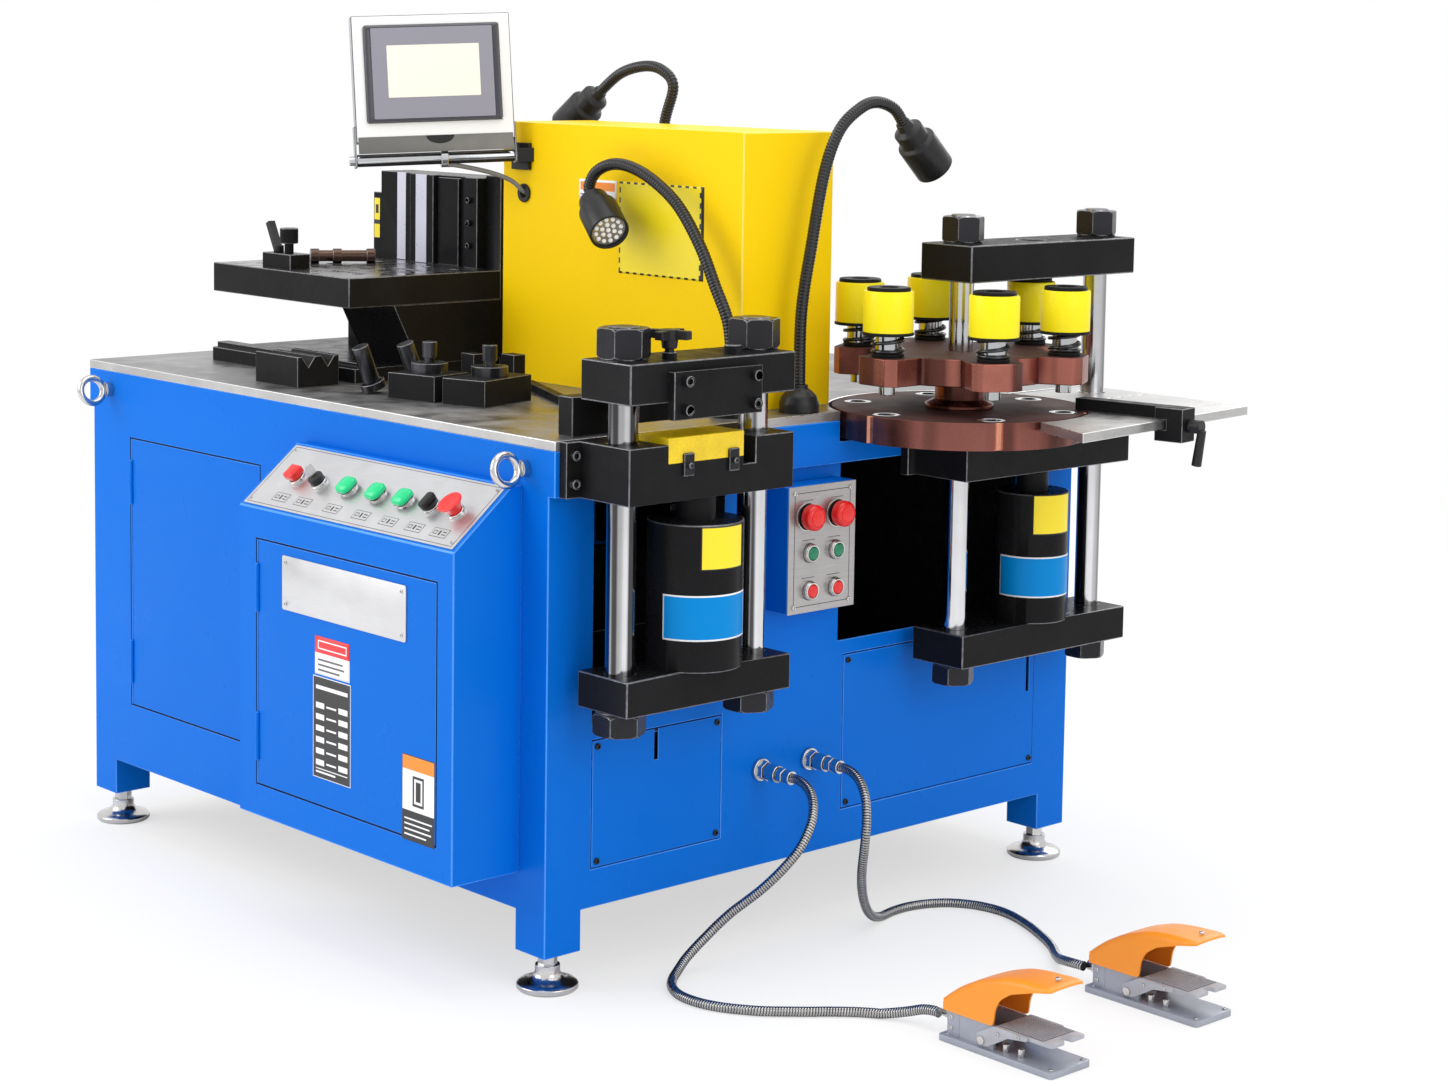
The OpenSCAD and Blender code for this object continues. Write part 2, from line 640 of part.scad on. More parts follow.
module turret_star() color("peru") {
    difference() {
        union() {
            at_corner(press_x, turret_y, star_z0) {
                for (k = [0:stations - 1]) rotate(90 + k * 360 / stations)
                    linear_extrude(star_z1 - star_z0) polygon([[0, -42], [punch_r + 22, -42],
                        [punch_r + 35, -27], [punch_r + 35, 27], [punch_r + 22, 42], [0, 42]]);
                cylinder(h = star_z1 - star_z0, r = punch_r - ram_r - 6);
            }
            at_corner(press_x, turret_y, zt) rotate_extrude() polygon([[10, 0], [56, 0], [56, 6],
                [40, 14], [40, 36], [58, 44], [58, 50], [10, 50]]);
        }
        bar(press_x, turret_y, zt - 1, star_z1 + 1, col_r + clear);
        for (k = [0:stations - 1]) at_station(k)
            translate([0, 0, star_z0 - 1]) cylinder(h = 60, r = ram_r + clear);
    }
    // seats of the guide springs
    for (k = [0:stations - 1]) at_station(k) translate([0, 0, star_z1 + 0.1]) difference() {
        cylinder(h = 6, r = 26);
        translate([0, 0, -1]) cylinder(h = 8, r = ram_r + clear);
    }
}
module turret_disc() color("peru") {
    difference() {
        bar(press_x, turret_y, zt - disc_t, zt, disc_r);
        bar(press_x, turret_y, zt - disc_t - 1, zt + 1, col_r + clear);
        for (k = [0:stations - 1]) at_station(k) {
            translate([0, 0, zt - 22]) cylinder(h = 30, r = die_r);
            translate([0, 0, zt - 60]) cylinder(h = 60, r = die_r - 5);
            translate([disc_r - punch_r + 2, 0, zt - 60]) cylinder(h = 70, r = 7);
        }
    }
    for (k = [0:stations - 1]) at_station(k) translate([0, 0, zt - 22]) difference() {
        cylinder(h = 22, r = die_r - 0.05);
        translate([0, 0, -1]) cylinder(h = 24, r = tip_r + 0.8);
    }
}
// Punch head: hollow sleeve that hangs over the guide spring, ram and round tip.
// Lower edge of a punch's sleeve above the table, which stays clear of the star when pressed.
sleeve_z = star_z1 - zt + stroke + 1;
module punch(k) color("gold") at_station(k) translate([0, 0, zt]) rotate_extrude()
    polygon([[0, 32], [tip_r, 32], [tip_r, 46], [ram_r, 50], [ram_r, 185], [head_d / 2 - 6, 185],
             [head_d / 2 - 6, sleeve_z], [head_d / 2 + 1.2, sleeve_z],
             [head_d / 2 + 1.2, sleeve_z + 5], [head_d / 2, sleeve_z + 5], [head_d / 2, 197],
             [33, 198], [32, 203], [0, 203]]);

// ---- extension table and its fence ---------------------------------------------------------
ext_edge = [[408, 700], [352, 1185]];                 // outer edge of the extension plate
module extension_table() color("silver") {
    difference() {
        at_corner(0, 0, zt - table_t) linear_extrude(table_t)
            polygon([[285, 745], ext_edge[0], ext_edge[1], [10, 1185], [10, turret_y + 205]]);
        bar(press_x, turret_y, zt - table_t - 1, zt + 1, disc_r + 6);
        bar(press_x, turret_y + punch_span, zt - table_t - 1, zt + 1, col_r + 3);
        for (y = [1020:28:1160], x = [150, 300]) bar(x, y, zt - table_t - 1, zt + 1, 4);
    }
    block(block_gap + 3, press_front - 2, punch_cols[1] - 90, punch_cols[1] - 29, pmid_z1, zt - table_t);
}
fence_a = atan2(30, 190);
fence_at = [215, 920];
module on_fence() at_corner(fence_at[0], fence_at[1], zt) rotate(fence_a) children();
module fence_bar() color("black") on_fence() {
    translate([0, -14, clear]) cube([192, 28, 20]);
    difference() {
        translate([150, -20, -34]) cube([50, 40, 54]);
        translate([140, -21, -table_t - clear]) cube([30.5, 42, table_t + 2 * clear]);
        translate([180, 0, -8]) rotate([0, 90, 0]) cylinder(h = 30, r = 6 + clear);
    }
}
module fence_lever() color("black") on_fence() translate([0, 0, -8]) {
    translate([182, 0, 0]) rotate([0, 90, 0]) cylinder(h = 34, r = 6);
    translate([202, 0, 0]) rotate([0, 90, 0]) cylinder(h = 22, r = 11);
    translate([216, 0, -62]) rotate([0, 8, 0]) cylinder(h = 58, r1 = 8, r2 = 7);
}

// ---- yellow electric cabinet and the screen's arm ---------------------------------------------
ecab_x0 = -77 - ecab_x;
ecab_y0 = 440;
grommet = [-624, zt + 322];
module electric_cabinet() color("gold") difference() {
    block(ecab_x0, -77, ecab_y0, ecab_y0 + ecab_y, zt, zt + ecab_h);
    block(ecab_x0 + 2, -79, ecab_y0 + 2, ecab_y0 + ecab_y - 2, zt - 1, zt + ecab_h - 2);
    at_corner(grommet[0], ecab_y0 - 1, grommet[1]) rotate([-90, 0, 0]) cylinder(h = 5, r = 9);
    for (x = [-170, -560]) bar(x, ecab_y0 + 60, zt + ecab_h - 5, zt + ecab_h + 1, 6);
}
rod_r = 8;
screen_w = 268;
screen_h = 214;
module at_hmi() at_corner(-693, 302, zt + 381) rotate([0, 0, 60]) rotate([0, -2.5, 0]) children();
ear_t = 3;
module hmi_arm() color("dimgray") {
    at_hmi() {
        translate([-screen_w / 2 - 12, 0, 0]) rotate([0, 90, 0]) cylinder(h = screen_w + 20, r = rod_r);
        translate([-20, 17.6, -7]) cube([screen_w / 2 + 26, 5, 14]);
        translate([8, 0, 0]) rotate([0, 90, 0]) difference() {
            cylinder(h = 12, r = 16);
            translate([0, 0, -1]) cylinder(h = 14, r = rod_r);
        }
    }
    difference() {
        at_hmi() translate([screen_w / 2 + ear_t + 1, -12, -12]) cube([30, 36, 24]);
        block(-700, -560, ecab_y0, ecab_y0 + 60, zt + 340, zt + 420);
    }
    block(-652, -606, ecab_y0 - 8, ecab_y0, zt + 362, zt + 408);
    at_corner(grommet[0], ecab_y0, grommet[1]) rotate([90, 0, 0]) difference() {
        cylinder(h = 4, r = 16);
        translate([0, 0, -1]) cylinder(h = 6, r = 8);
    }
}
module hmi_panel() color("white") at_hmi() rotate([-6, 0, 0]) {
    difference() {
        translate([-screen_w / 2, -18, 28]) cube([screen_w, 38, screen_h]);
        translate([-screen_w / 2 + 3, -14, 31]) cube([screen_w - 6, 31, screen_h - 6]);
        translate([-40, 27, 40]) rotate([90, 0, 0]) cylinder(h = 14, r = 8);
    }
    translate([-114, -24, 61]) cube([228, 6, 163]);
    for (x = [-screen_w / 2 - ear_t, screen_w / 2]) difference() {
        translate([x, -14, -13]) cube([ear_t, 28, 70]);
        translate([x - 1, 0, 0]) rotate([0, 90, 0]) cylinder(h = 5, r = rod_r + clear);
    }
}

// ---- bending bench ------------------------------------------------------------------------------
bench_x1 = ecab_x0 - 51;                              // right end of the platform
bench_x0 = bench_x1 - bench_x;
bench_y0 = 153;
bench_y1 = bench_y0 + bench_y;
bench_z1 = zt + bench_h;
bench_z0 = bench_z1 - bench_t;
module bending_frame() color("black") {
    block(bench_x0 - 30, bench_x1 - 6, 170, bench_y1, zt, zt + 25);
    block(bench_x0 - 30, bench_x1 - 6, 180, 205, zt + 25, zt + 34);
    block(bench_x0 + 40, bench_x0 + 90, bench_y1 - 60, bench_y1 - 10, zt + 25, bench_z0);
    along_x(bench_x1 - 166, bench_x1 - 2) polygon([[247, bench_z0], [bench_y1, bench_z0],
        [bench_y1, zt + 25], [300, zt + 25]]);
    // upright column behind the platform, its rails and its end plate
    block(bench_x0 + 59, bench_x1 - 44, bench_y1, bench_y1 + 72, zt, zt + 340);
    block(bench_x0 + 167, bench_x0 + 236, bench_y1 - 14, bench_y1, bench_z1, zt + 340);
    block(bench_x0 + 240, bench_x0 + 300, bench_y1 - 6, bench_y1, bench_z1, zt + 336);
    block(bench_x0 + 336, bench_x1 - 44, bench_y1 - 20, bench_y1, bench_z1, zt + 340);
    for (z = [40:40:150]) at_corner(bench_x0 + 352, bench_y1 - 20, bench_z1 + z) rotate([90, 0, 0])
        cap_screw(7, 12);
    block(bench_x1 - 44, bench_x1 - 2, bench_y1, bench_y1 + 20, zt, zt + 345);
    block(bench_x0 + 36, bench_x0 + 59, bench_y1, bench_y1 + 26, zt, zt + 300);
}
clamp_at = [bench_x0 + 127, 172];
module bending_platform() color("black") {
    difference() {
        block(bench_x0, bench_x1, bench_y0, bench_y1, bench_z0, bench_z1);
        for (x = [60:74:360], y = [60:100:260])
            bar(bench_x0 + x, bench_y0 + y, bench_z1 - 8, bench_z1 + 1, 8);
        for (y = [70, 190]) block(bench_x1 - 150, bench_x1 - 60, bench_y0 + y, bench_y0 + y + 12,
            bench_z1 - 8, bench_z1 + 1);
    }
    for (x = [60:74:360], y = [60:100:260])
        bar(bench_x0 + x, bench_y0 + y, bench_z1 - 8, bench_z1 - 1, 7.9);
    // clamp block, its post and the roller shaft at the back
    block(clamp_at[0], clamp_at[0] + 86, clamp_at[1], clamp_at[1] + 42, bench_z1, bench_z1 + 26);
    bar(clamp_at[0] + 52, clamp_at[1] + 21, bench_z1 + 26, bench_z1 + 44, 8);
    bar(clamp_at[0] + 52, clamp_at[1] + 21, bench_z1 + 43, bench_z1 + 70, 16);
    at_corner(-1044, 287, bench_z1 + 13) rotate([0, 90, 59]) {
        cylinder(h = 116, r = 10);
        for (x = [0, 40, 100]) translate([0, 0, x]) cylinder(h = 16, r = 13);
    }
}
module clamp_lever() color("black") at_corner(clamp_at[0] + 20, clamp_at[1] + 21, bench_z1 + 26) {
    cylinder(h = 12, r = 9);
    rotate([0, -28, 0]) translate([-4, -7, 6]) cube([10, 14, 52]);
}

// ---- loose tools on the table ------------------------------------------------------------------
// A punch stood askew in its ring, which rests on the ring's near edge.
lean = 21;
module leaning_punch(x, y, r, h) at_corner(x, y, zt) intersection() {
    translate([0, 0, (r + 7) * sin(lean) - 0.6]) rotate([0, 0, 353]) rotate([lean, 0, 0]) {
        difference() {
            cylinder(h = 13, r = r + 7);
            translate([0, 0, 3]) cylinder(h = 11, r = r + 2);
        }
        cylinder(h = h, r = r);
    }
    translate([-90, -90, 0]) cube(180);
}
module die_block(x, y, a, lx, ly, h) at_corner(x, y, zt) rotate(a) translate([-lx, 0, 0]) {
    cube([lx, ly, h]);
    translate([lx * 0.5, ly * 0.55, h]) cylinder(h = 16, r = 30);
    translate([lx * 0.5, ly * 0.55, h + 15]) cylinder(h = 10, r = 9);
    translate([lx * 0.5, ly * 0.55, h + 24]) cylinder(h = 26, r = 12);
}
module loose_tooling() color("black") {
    // block with two vee grooves
    difference() {
        block(-868, -743, 56, 139, zt, zt + 52);
        for (y = [78, 117]) at_corner(-870, y, zt + 52) rotate([0, 90, 0])
            linear_extrude(130) polygon([[0, -13], [0, 13], [18, 0]]);
    }
    leaning_punch(-626, 128, 14, 76);
    leaning_punch(-582, 189, 14, 82);
    die_block(-456, 123, 13, 98, 84, 43);
    die_block(-358, 149, 16, 84, 128, 43);
    block(-578, -544, 270, 292, zt, zt + 62);
    block(-528, -494, 315, 340, zt, zt + 62);
    // gauge rail across the table
    at_corner(-280, 260, zt) rotate(155.4) translate([0, -8, 0]) cube([268, 16, 14]);
}

// ---- task lamps: magnetic foot, flexible neck and head -------------------------------------------
neck_r = 10;
module magnet_foot() {
    rotate_extrude() polygon([[0, 0], [32, 0], [32, 14], [28, 26], [20, 34], [14, 38], [14, 44],
                              [0, 44]]);
}
module lamp_head(d) rotate([0, acos(d[2] / norm(d)), atan2(d[1], d[0])]) difference() {
    rotate_extrude() polygon([[0, -6], [12, -6], [14, 6], [25, 12], [25, 36], [33, 40], [33, 104],
                              [28, 104], [28, 96], [0, 96]]);
}
lamp_1 = [[-57, 400, 43], [-57, 400, 100], [-66, 400, 150], [-95, 400, 200], [-132, 400, 262],
          [-185, 400, 323], [-244, 400, 360], [-300, 400, 380], [-348, 400, 383],
          [-388, 400, 369], [-404, 399, 345], [-396, 397, 328]];
lamp_2 = [[-34, 528, 43], [-32, 528, 160], [-30, 547, 272], [-30, 572, 382], [-30, 604, 447],
          [-30, 649, 481], [-30, 687, 491], [-30, 728, 480], [-30, 752, 454]];
lamp_3 = [[-575, 681, 300], [-574, 697, 306], [-566, 700, 340], [-560, 700, 438],
          [-538, 700, 505], [-566, 700, 533], [-614, 700, 540], [-679, 700, 526],
          [-738, 700, 490]];
module task_lamps() color("black") {
    at_corner(lamp_1[0][0], lamp_1[0][1], zt) magnet_foot();
    at_corner(lamp_2[0][0], lamp_2[0][1], zt) magnet_foot();
    at_corner(lamp_3[0][0], ecab_y0 + ecab_y, zt + lamp_3[0][2]) rotate([-90, 0, 0]) magnet_foot();
    for (p = [lamp_1, lamp_2, lamp_3]) at_corner(0, 0, zt) tube(p, 2 * neck_r, 10, 2);
    at_corner(lamp_1[11][0], lamp_1[11][1], zt + lamp_1[11][2]) lamp_head([0.8, -0.3, -0.51]);
    at_corner(lamp_2[8][0], lamp_2[8][1], zt + lamp_2[8][2]) lamp_head([0, 0.72, -0.69]);
    at_corner(lamp_3[8][0], lamp_3[8][1], zt + lamp_3[8][2]) lamp_head([-0.8, -0.05, -0.6]);
}

// ---- swept tubes ------------------------------------------------------------------------------
function unit(v) = v / norm(v);
// Smooth curve through the points of a route, n steps between neighbours.
function smooth(p, n) = concat([for (i = [0:len(p) - 2], k = [0:n - 1])
    let (a = p[max(i - 1, 0)], b = p[i], c = p[i + 1], d = p[min(i + 2, len(p) - 1)], u = k / n)
    0.5 * (2 * b + (c - a) * u + (2 * a - 5 * b + 4 * c - d) * u * u
           + (3 * b - 3 * c + d - a) * u * u * u)], [p[len(p) - 1]]);
// Directions along the curve. At both ends it leaves straight along the route.
function tangents(q, p) = [for (i = [0:len(q) - 1])
    unit(i == 0 ? p[1] - p[0] : i == len(q) - 1 ? p[len(p) - 1] - p[len(p) - 2] : q[i + 1] - q[i - 1])];
// Side vectors carried along the route without twisting.
function sides_of(t, v, i = 0) = i == len(t) ? [] :
    let (w = unit(v - (v * t[i]) * t[i])) concat([w], sides_of(t, w, i + 1));
module tube(route, d, sides, steps) {
    q = smooth(route, steps);
    t = tangents(q, route);
    v = sides_of(t, abs(t[0][1]) < 0.9 ? [0, 1, 0] : [1, 0, 0]);
    last = len(q) - 1;
    points = [for (i = [0:last], k = [0:sides - 1]) let (a = k * 360 / sides)
        q[i] + d / 2 * (cos(a) * v[i] + sin(a) * cross(t[i], v[i]))];
    skin = [for (i = [0:last - 1], k = [0:sides - 1]) let (m = (k + 1) % sides)
        [i * sides + k, (i + 1) * sides + k, (i + 1) * sides + m, i * sides + m]];
    polyhedron(points, concat([[for (k = [0:sides - 1]) k]], skin,
        [[for (k = [sides - 1:-1:0]) last * sides + k]]), convexity = 6);
}

// ---- foot pedals, their conduits and glands, the screen's cable ------------------------------------
pedal_x0 = pedal_reach - pedal_l;
pedals_y = [363, 686];
treadle_axis = [81, 21];
pedal_gland_z = 27;
module at_pedal(i) at_corner(pedal_x0, pedals_y[i], 0) children();
module side_shape(y0, y1) translate([0, y1, 0]) rotate([90, 0, 0]) linear_extrude(y1 - y0) children();

module foot_pedals() for (i = [0, 1]) at_pedal(i) {
    color("lightsteelblue") {
        translate([0, -pedal_w / 2, 0]) cube([pedal_l, pedal_w, 10]);
        difference() {
            translate([8, -35.4, 10]) cube([92, 70.8, 36]);
            translate([34, -30, 16]) cube([80, 60, 40]);
        }
        translate([treadle_axis[0], -41, treadle_axis[1]]) rotate([-90, 0, 0]) cylinder(h = 82, r = 4);
        for (x = [116, 144]) translate([x, -26, 9]) cylinder(h = 14, r = 5);
        // gland of the conduit
        translate([-24, -14, pedal_gland_z]) rotate([0, 90, 0]) {
            cylinder(h = 33, d = 17);
            translate([0, 0, 12]) cylinder(h = 12, d = 24, $fn = 6);
        }
    }
    color("darkorange") difference() {
        side_shape(-39, 39) polygon([[6, 46], [6, 64], [36, 92], [70, 110], [104, 121], [150, 127],
            [200, 124], [202, 119], [176, 114], [132, 100], [112, 86], [104, 70], [101, 46]]);
        side_shape(-35.5, 35.5) polygon([[10, 45], [10, 62], [38, 88], [72, 105.5], [105, 116.5],
            [150, 122], [210, 116], [210, 80], [110, 45]]);
    }
}
module treadle(i) color("silver") at_pedal(i) difference() {
    union() {
        translate([104, -36, 41]) cube([104, 72, 6]);
        for (y = [-40, 36]) side_shape(y, y + 4) polygon([[72, 14], [90, 14], [130, 36], [166, 41],
            [166, 47], [104, 47], [72, 30]]);
    }
    translate([treadle_axis[0], -50, treadle_axis[1]]) rotate([-90, 0, 0]) cylinder(h = 100, r = 4.3);
    translate([198, 0, 40]) cylinder(h = 9, r = 7);
    translate([198, -7, 40]) cube([20, 14, 9]);
}

conduit_d = 14;
gland_out = 74;                                       // reach of a gland in front of the wall
module gland() {
    cylinder(h = gland_out - 4, d = 17);
    translate([0, 0, -10]) cylinder(h = 12, d = gland_d - 1);
    cylinder(h = 7, d = 36);
    translate([0, 0, 7]) cylinder(h = 12, d = 32, $fn = 6);
    translate([0, 0, 22]) cylinder(h = 22, d = 27);
    translate([0, 0, 46]) cylinder(h = 12, d = 25, $fn = 6);
    translate([0, 0, 60]) cylinder(h = gland_out - 60, d = 22);
}
module cable_glands() color("silver") for (y = glands_y)
    at_corner(-wall_in, y, gland_z) rotate([0, 90, 0]) gland();

// Routes of the conduits' middle lines in the corner's frame, heights above the floor.
route_1 = [[60, 436, 277], [72, 436, 277], [90, 433, 274], [110, 427, 266], [127, 417, 252],
           [138, 404, 233], [141, 390, 212], [138, 375, 189], [129, 360, 168], [117, 346, 148],
           [102, 332, 128], [86, 318, 110], [71, 303, 93], [59, 287, 75], [50, 270, 57], [45, 251, 41],
           [45, 230, 27], [51, 210, 16], [61, 190, 9], [77, 173, 7], [96, 160, 7], [118, 151, 7],
           [141, 148, 7], [165, 150, 7], [187, 156, 7], [209, 166, 7], [229, 179, 7], [248, 193, 7],
           [265, 210, 7], [281, 228, 7], [297, 246, 7], [312, 265, 7], [329, 284, 7], [347, 302, 7],
           [366, 317, 7], [388, 331, 11], [410, 341, 17], [431, 347, 24], [450, 349, 27],
           [462, 349, 27]];
route_2 = [[60, 543, 277], [72, 543, 277], [92, 541, 273], [113, 536, 262], [130, 529, 243],
           [139, 523, 218], [141, 520, 189], [135, 523, 159], [125, 530, 129], [113, 542, 102],
           [100, 558, 77], [88, 576, 54], [75, 597, 35], [64, 620, 20], [53, 645, 11], [44, 670, 7],
           [39, 696, 7], [38, 723, 7], [42, 748, 7], [51, 772, 7], [64, 793, 7], [82, 809, 7],
           [104, 821, 7], [127, 827, 7], [152, 829, 7], [176, 826, 7], [201, 819, 7], [224, 810, 7],
           [247, 800, 7], [270, 788, 7], [292, 776, 7], [314, 763, 7], [335, 748, 7], [354, 732, 7],
           [373, 715, 10], [392, 698, 15], [412, 684, 21], [432, 675, 25], [450, 672, 27],
           [462, 672, 27]];
module conduit_1() color("silver") at_corner() tube(route_1, conduit_d, 10, 1);
module conduit_2() color("silver") at_corner() tube(route_2, conduit_d, 10, 1);
screen_route = [[-683, 320, 369], [-676, 332, 369], [-650, 385, 357], [-634, 418, 343],
                [-625, 436, 326], [-624, 450, 319]];
module hmi_cable() color("gray") at_corner(0, 0, zt) tube(screen_route, 8, 8, 2);

cabinet_frame();
table_top();
cover_panels();
levelling_feet();
eye_bolts();
control_boxes();
control_plates();
power_pack();
electric_cabinet();
hmi_arm();
bending_frame();
bending_platform();
cut_middle_block();
punch_middle_block();
press_pistons();
extension_table();
cable_glands();
foot_pedals();
conduit_1();
conduit_2();
hmi_cable();
task_lamps();
loose_tooling();
cabinet_door();
desk_door();
red_button();
key_switch();
green_button(1);  // green_button_1
green_button(2);  // green_button_2
green_button(3);  // green_button_3
selector_knob();
stop_mushroom();
box_button(0);  // box_button_1
box_button(1);  // box_button_2
box_button(2);  // box_button_3
box_button(3);  // box_button_4
box_button(4);  // box_button_5
box_button(5);  // box_button_6
hmi_panel();
cut_top_block();
cut_cylinder();
cut_columns();
cut_blade_holder();
punch_top_block();
punch_cylinder();
punch_columns();
turret_star();
turret_disc();
punch(0);  // punch_1
punch(1);  // punch_2
punch(2);  // punch_3
punch(3);  // punch_4
punch(4);  // punch_5
punch(5);  // punch_6
cut_knob();
fence_bar();
fence_lever();
clamp_lever();
treadle(0);  // treadle_1
treadle(1);  // treadle_2
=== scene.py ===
import math
import bmesh
import bpy
import numpy as np
from mathutils import Matrix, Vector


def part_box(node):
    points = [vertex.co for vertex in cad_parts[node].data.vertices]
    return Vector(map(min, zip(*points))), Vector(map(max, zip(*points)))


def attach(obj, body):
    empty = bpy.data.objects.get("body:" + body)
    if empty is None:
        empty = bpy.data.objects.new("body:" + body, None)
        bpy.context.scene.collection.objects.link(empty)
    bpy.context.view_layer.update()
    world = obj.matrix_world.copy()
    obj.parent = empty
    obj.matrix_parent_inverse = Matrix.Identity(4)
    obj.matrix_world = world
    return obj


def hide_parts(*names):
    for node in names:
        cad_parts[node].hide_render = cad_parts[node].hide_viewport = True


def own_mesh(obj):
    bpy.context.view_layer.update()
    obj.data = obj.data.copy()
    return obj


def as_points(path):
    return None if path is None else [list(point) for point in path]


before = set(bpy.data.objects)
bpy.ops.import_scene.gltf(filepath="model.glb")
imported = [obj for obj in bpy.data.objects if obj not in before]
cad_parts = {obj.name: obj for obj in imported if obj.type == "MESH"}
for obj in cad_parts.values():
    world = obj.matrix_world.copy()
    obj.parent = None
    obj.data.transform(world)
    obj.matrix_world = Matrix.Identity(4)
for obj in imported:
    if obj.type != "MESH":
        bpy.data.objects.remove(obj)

print("frame loaded")
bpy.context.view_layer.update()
tableLow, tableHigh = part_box("table_top")
# Places are in millimetres from the table top's near corner: X along the desk side, Y back, Z up.
corner = np.array([tableHigh.x, tableLow.y, tableHigh.z]) * 1000
floorLevel = -corner[2]


# (point + corner) / 1000
def place(points):
    return (np.asarray(points, float) + corner) / 1000


# Rotation matrix: I + sin(a) K + (1 - cos(a)) K K, with K the cross product by the axis.
def turned(axis, degrees):
    x, y, z = np.asarray(axis, float) / np.linalg.norm(axis)
    k = np.array([[0, -z, y], [z, 0, -x], [-y, x, 0]])
    a = math.radians(degrees)
    return np.eye(3) + math.sin(a) * k + (1 - math.cos(a)) * k @ k


# Rotation that takes +Z to the direction.
def toward(direction):
    d = np.asarray(direction, float) / np.linalg.norm(direction)
    if d[2] > 0.9999:
        return np.eye(3)
    if d[2] < -0.9999:
        return turned((1, 0, 0), 180)
    return turned((-d[1], d[0], 0), math.degrees(math.acos(d[2])))


alongX = turned((0, 1, 0), 90)

# camera, lights and floor
camera = {"eye": (3160, -2595, 577), "azimuth": 47.20, "elevation": 5.54, "roll": 0.88,
          "lens": 70.31, "shiftY": -0.1536}
a, e, r = (math.radians(camera[key]) for key in ("azimuth", "elevation", "roll"))
right = np.array([math.cos(a), math.sin(a), 0])
back = np.array([math.sin(a) * math.cos(e), -math.cos(a) * math.cos(e), math.sin(e)])
up = np.cross(back, right)
view = np.eye(4)
view[:3, 0] = math.cos(r) * right + math.sin(r) * up
view[:3, 1] = math.cos(r) * up - math.sin(r) * right
view[:3, 2] = back
view[:3, 3] = place(camera["eye"])
cameraData = bpy.data.cameras.new("camera")
cameraData.lens = camera["lens"]
cameraData.sensor_width = 36
cameraData.shift_y = camera["shiftY"]
cameraObject = bpy.data.objects.new("camera", cameraData)
cameraObject.matrix_world = Matrix(view.tolist())
bpy.context.scene.collection.objects.link(cameraObject)
bpy.context.scene.camera = cameraObject


# Shader node of the kind, its settings and inputs set; an input that is a socket is linked.
def addNode(tree, kind, inputs=None, **settings):
    node = tree.nodes.new("ShaderNode" + kind)
    for key, value in settings.items():
        setattr(node, key, value)
    for key, value in (inputs or {}).items():
        if isinstance(value, bpy.types.NodeSocket):
            tree.links.new(value, node.inputs[key])
        else:
            node.inputs[key].default_value = value
    return node


studio = {"level": 0.86, "target": (0, 0, 0.6), "floor": {"near": 1.6, "far": 4.5, "shade": 0.62}, "lights": {
    "keyLight": {"at": (-3.0, -4.4, 3.4), "size": 4.0, "power": 150},
    "topLight": {"at": (0.6, 0.2, 4.6), "size": 3.6, "power": 70},
    "sideLight": {"at": (4.6, -0.4, 2.4), "size": 2.6, "power": 36},
    "backLight": {"at": (-1.0, 4.2, 3.2), "size": 2.4, "power": 40}}}
world = bpy.data.worlds.new("studio")
bpy.context.scene.world = world
world.use_nodes = True
tree = world.node_tree
tree.nodes.clear()
rays = addNode(tree, "LightPath")
seen = addNode(tree, "Math", {0: rays.outputs["Is Camera Ray"], 1: rays.outputs["Is Glossy Ray"]},
               operation="MAXIMUM")
seen = addNode(tree, "Math", {0: seen.outputs[0], 1: rays.outputs["Is Transmission Ray"]},
               operation="MAXIMUM")
lit = addNode(tree, "Background", {"Color": (1, 1, 1, 1), "Strength": studio["level"]})
shown = addNode(tree, "Background", {"Color": (1, 1, 1, 1), "Strength": 1.0})
mixed = addNode(tree, "MixShader", {0: seen.outputs[0], 1: lit.outputs[0], 2: shown.outputs[0]})
addNode(tree, "OutputWorld", {"Surface": mixed.outputs[0]})
for name, light in studio["lights"].items():
    data = bpy.data.lights.new(name, "AREA")
    data.size = light["size"]
    data.energy = light["power"]
    lamp = bpy.data.objects.new(name, data)
    away = np.array(light["at"]) - studio["target"]
    matrix = np.eye(4)
    matrix[:3, :3] = toward(away)
    matrix[:3, 3] = light["at"]
    lamp.matrix_world = Matrix(matrix.tolist())
    bpy.context.scene.collection.objects.link(lamp)
bpy.context.scene.view_settings.view_transform = "Standard"

floorMesh = bpy.data.meshes.new("floor")
floorMesh.from_pydata([(-60, -60, 0), (60, -60, 0), (60, 60, 0), (-60, 60, 0)], [], [(0, 1, 2, 3)])
floorPaint = bpy.data.materials.new("floorPaint")
floorPaint.use_nodes = True
tree = floorPaint.node_tree
tree.nodes.clear()
coords = addNode(tree, "TexCoord")
distance = addNode(tree, "VectorMath", {0: coords.outputs["Object"]}, operation="LENGTH")
fade = addNode(tree, "MapRange", {
    "Value": distance.outputs["Value"], "From Min": studio["floor"]["near"],
    "From Max": studio["floor"]["far"], "To Min": studio["floor"]["shade"], "To Max": 1.0})
rays = addNode(tree, "LightPath")
blend = addNode(tree, "Math", {0: rays.outputs["Is Camera Ray"], 1: fade.outputs[0]},
                operation="MULTIPLY")
matt = addNode(tree, "BsdfDiffuse", {"Color": (0.93, 0.93, 0.93, 1)})
white = addNode(tree, "Emission", {"Color": (1, 1, 1, 1), "Strength": 1.0})
mixed = addNode(tree, "MixShader", {0: blend.outputs[0], 1: matt.outputs[0], 2: white.outputs[0]})
addNode(tree, "OutputMaterial", {"Surface": mixed.outputs[0]})
floorMesh.materials.append(floorPaint)
floor = bpy.data.objects.new("floor", floorMesh)
bpy.context.scene.collection.objects.link(floor)
print("camera, lights and floor made")

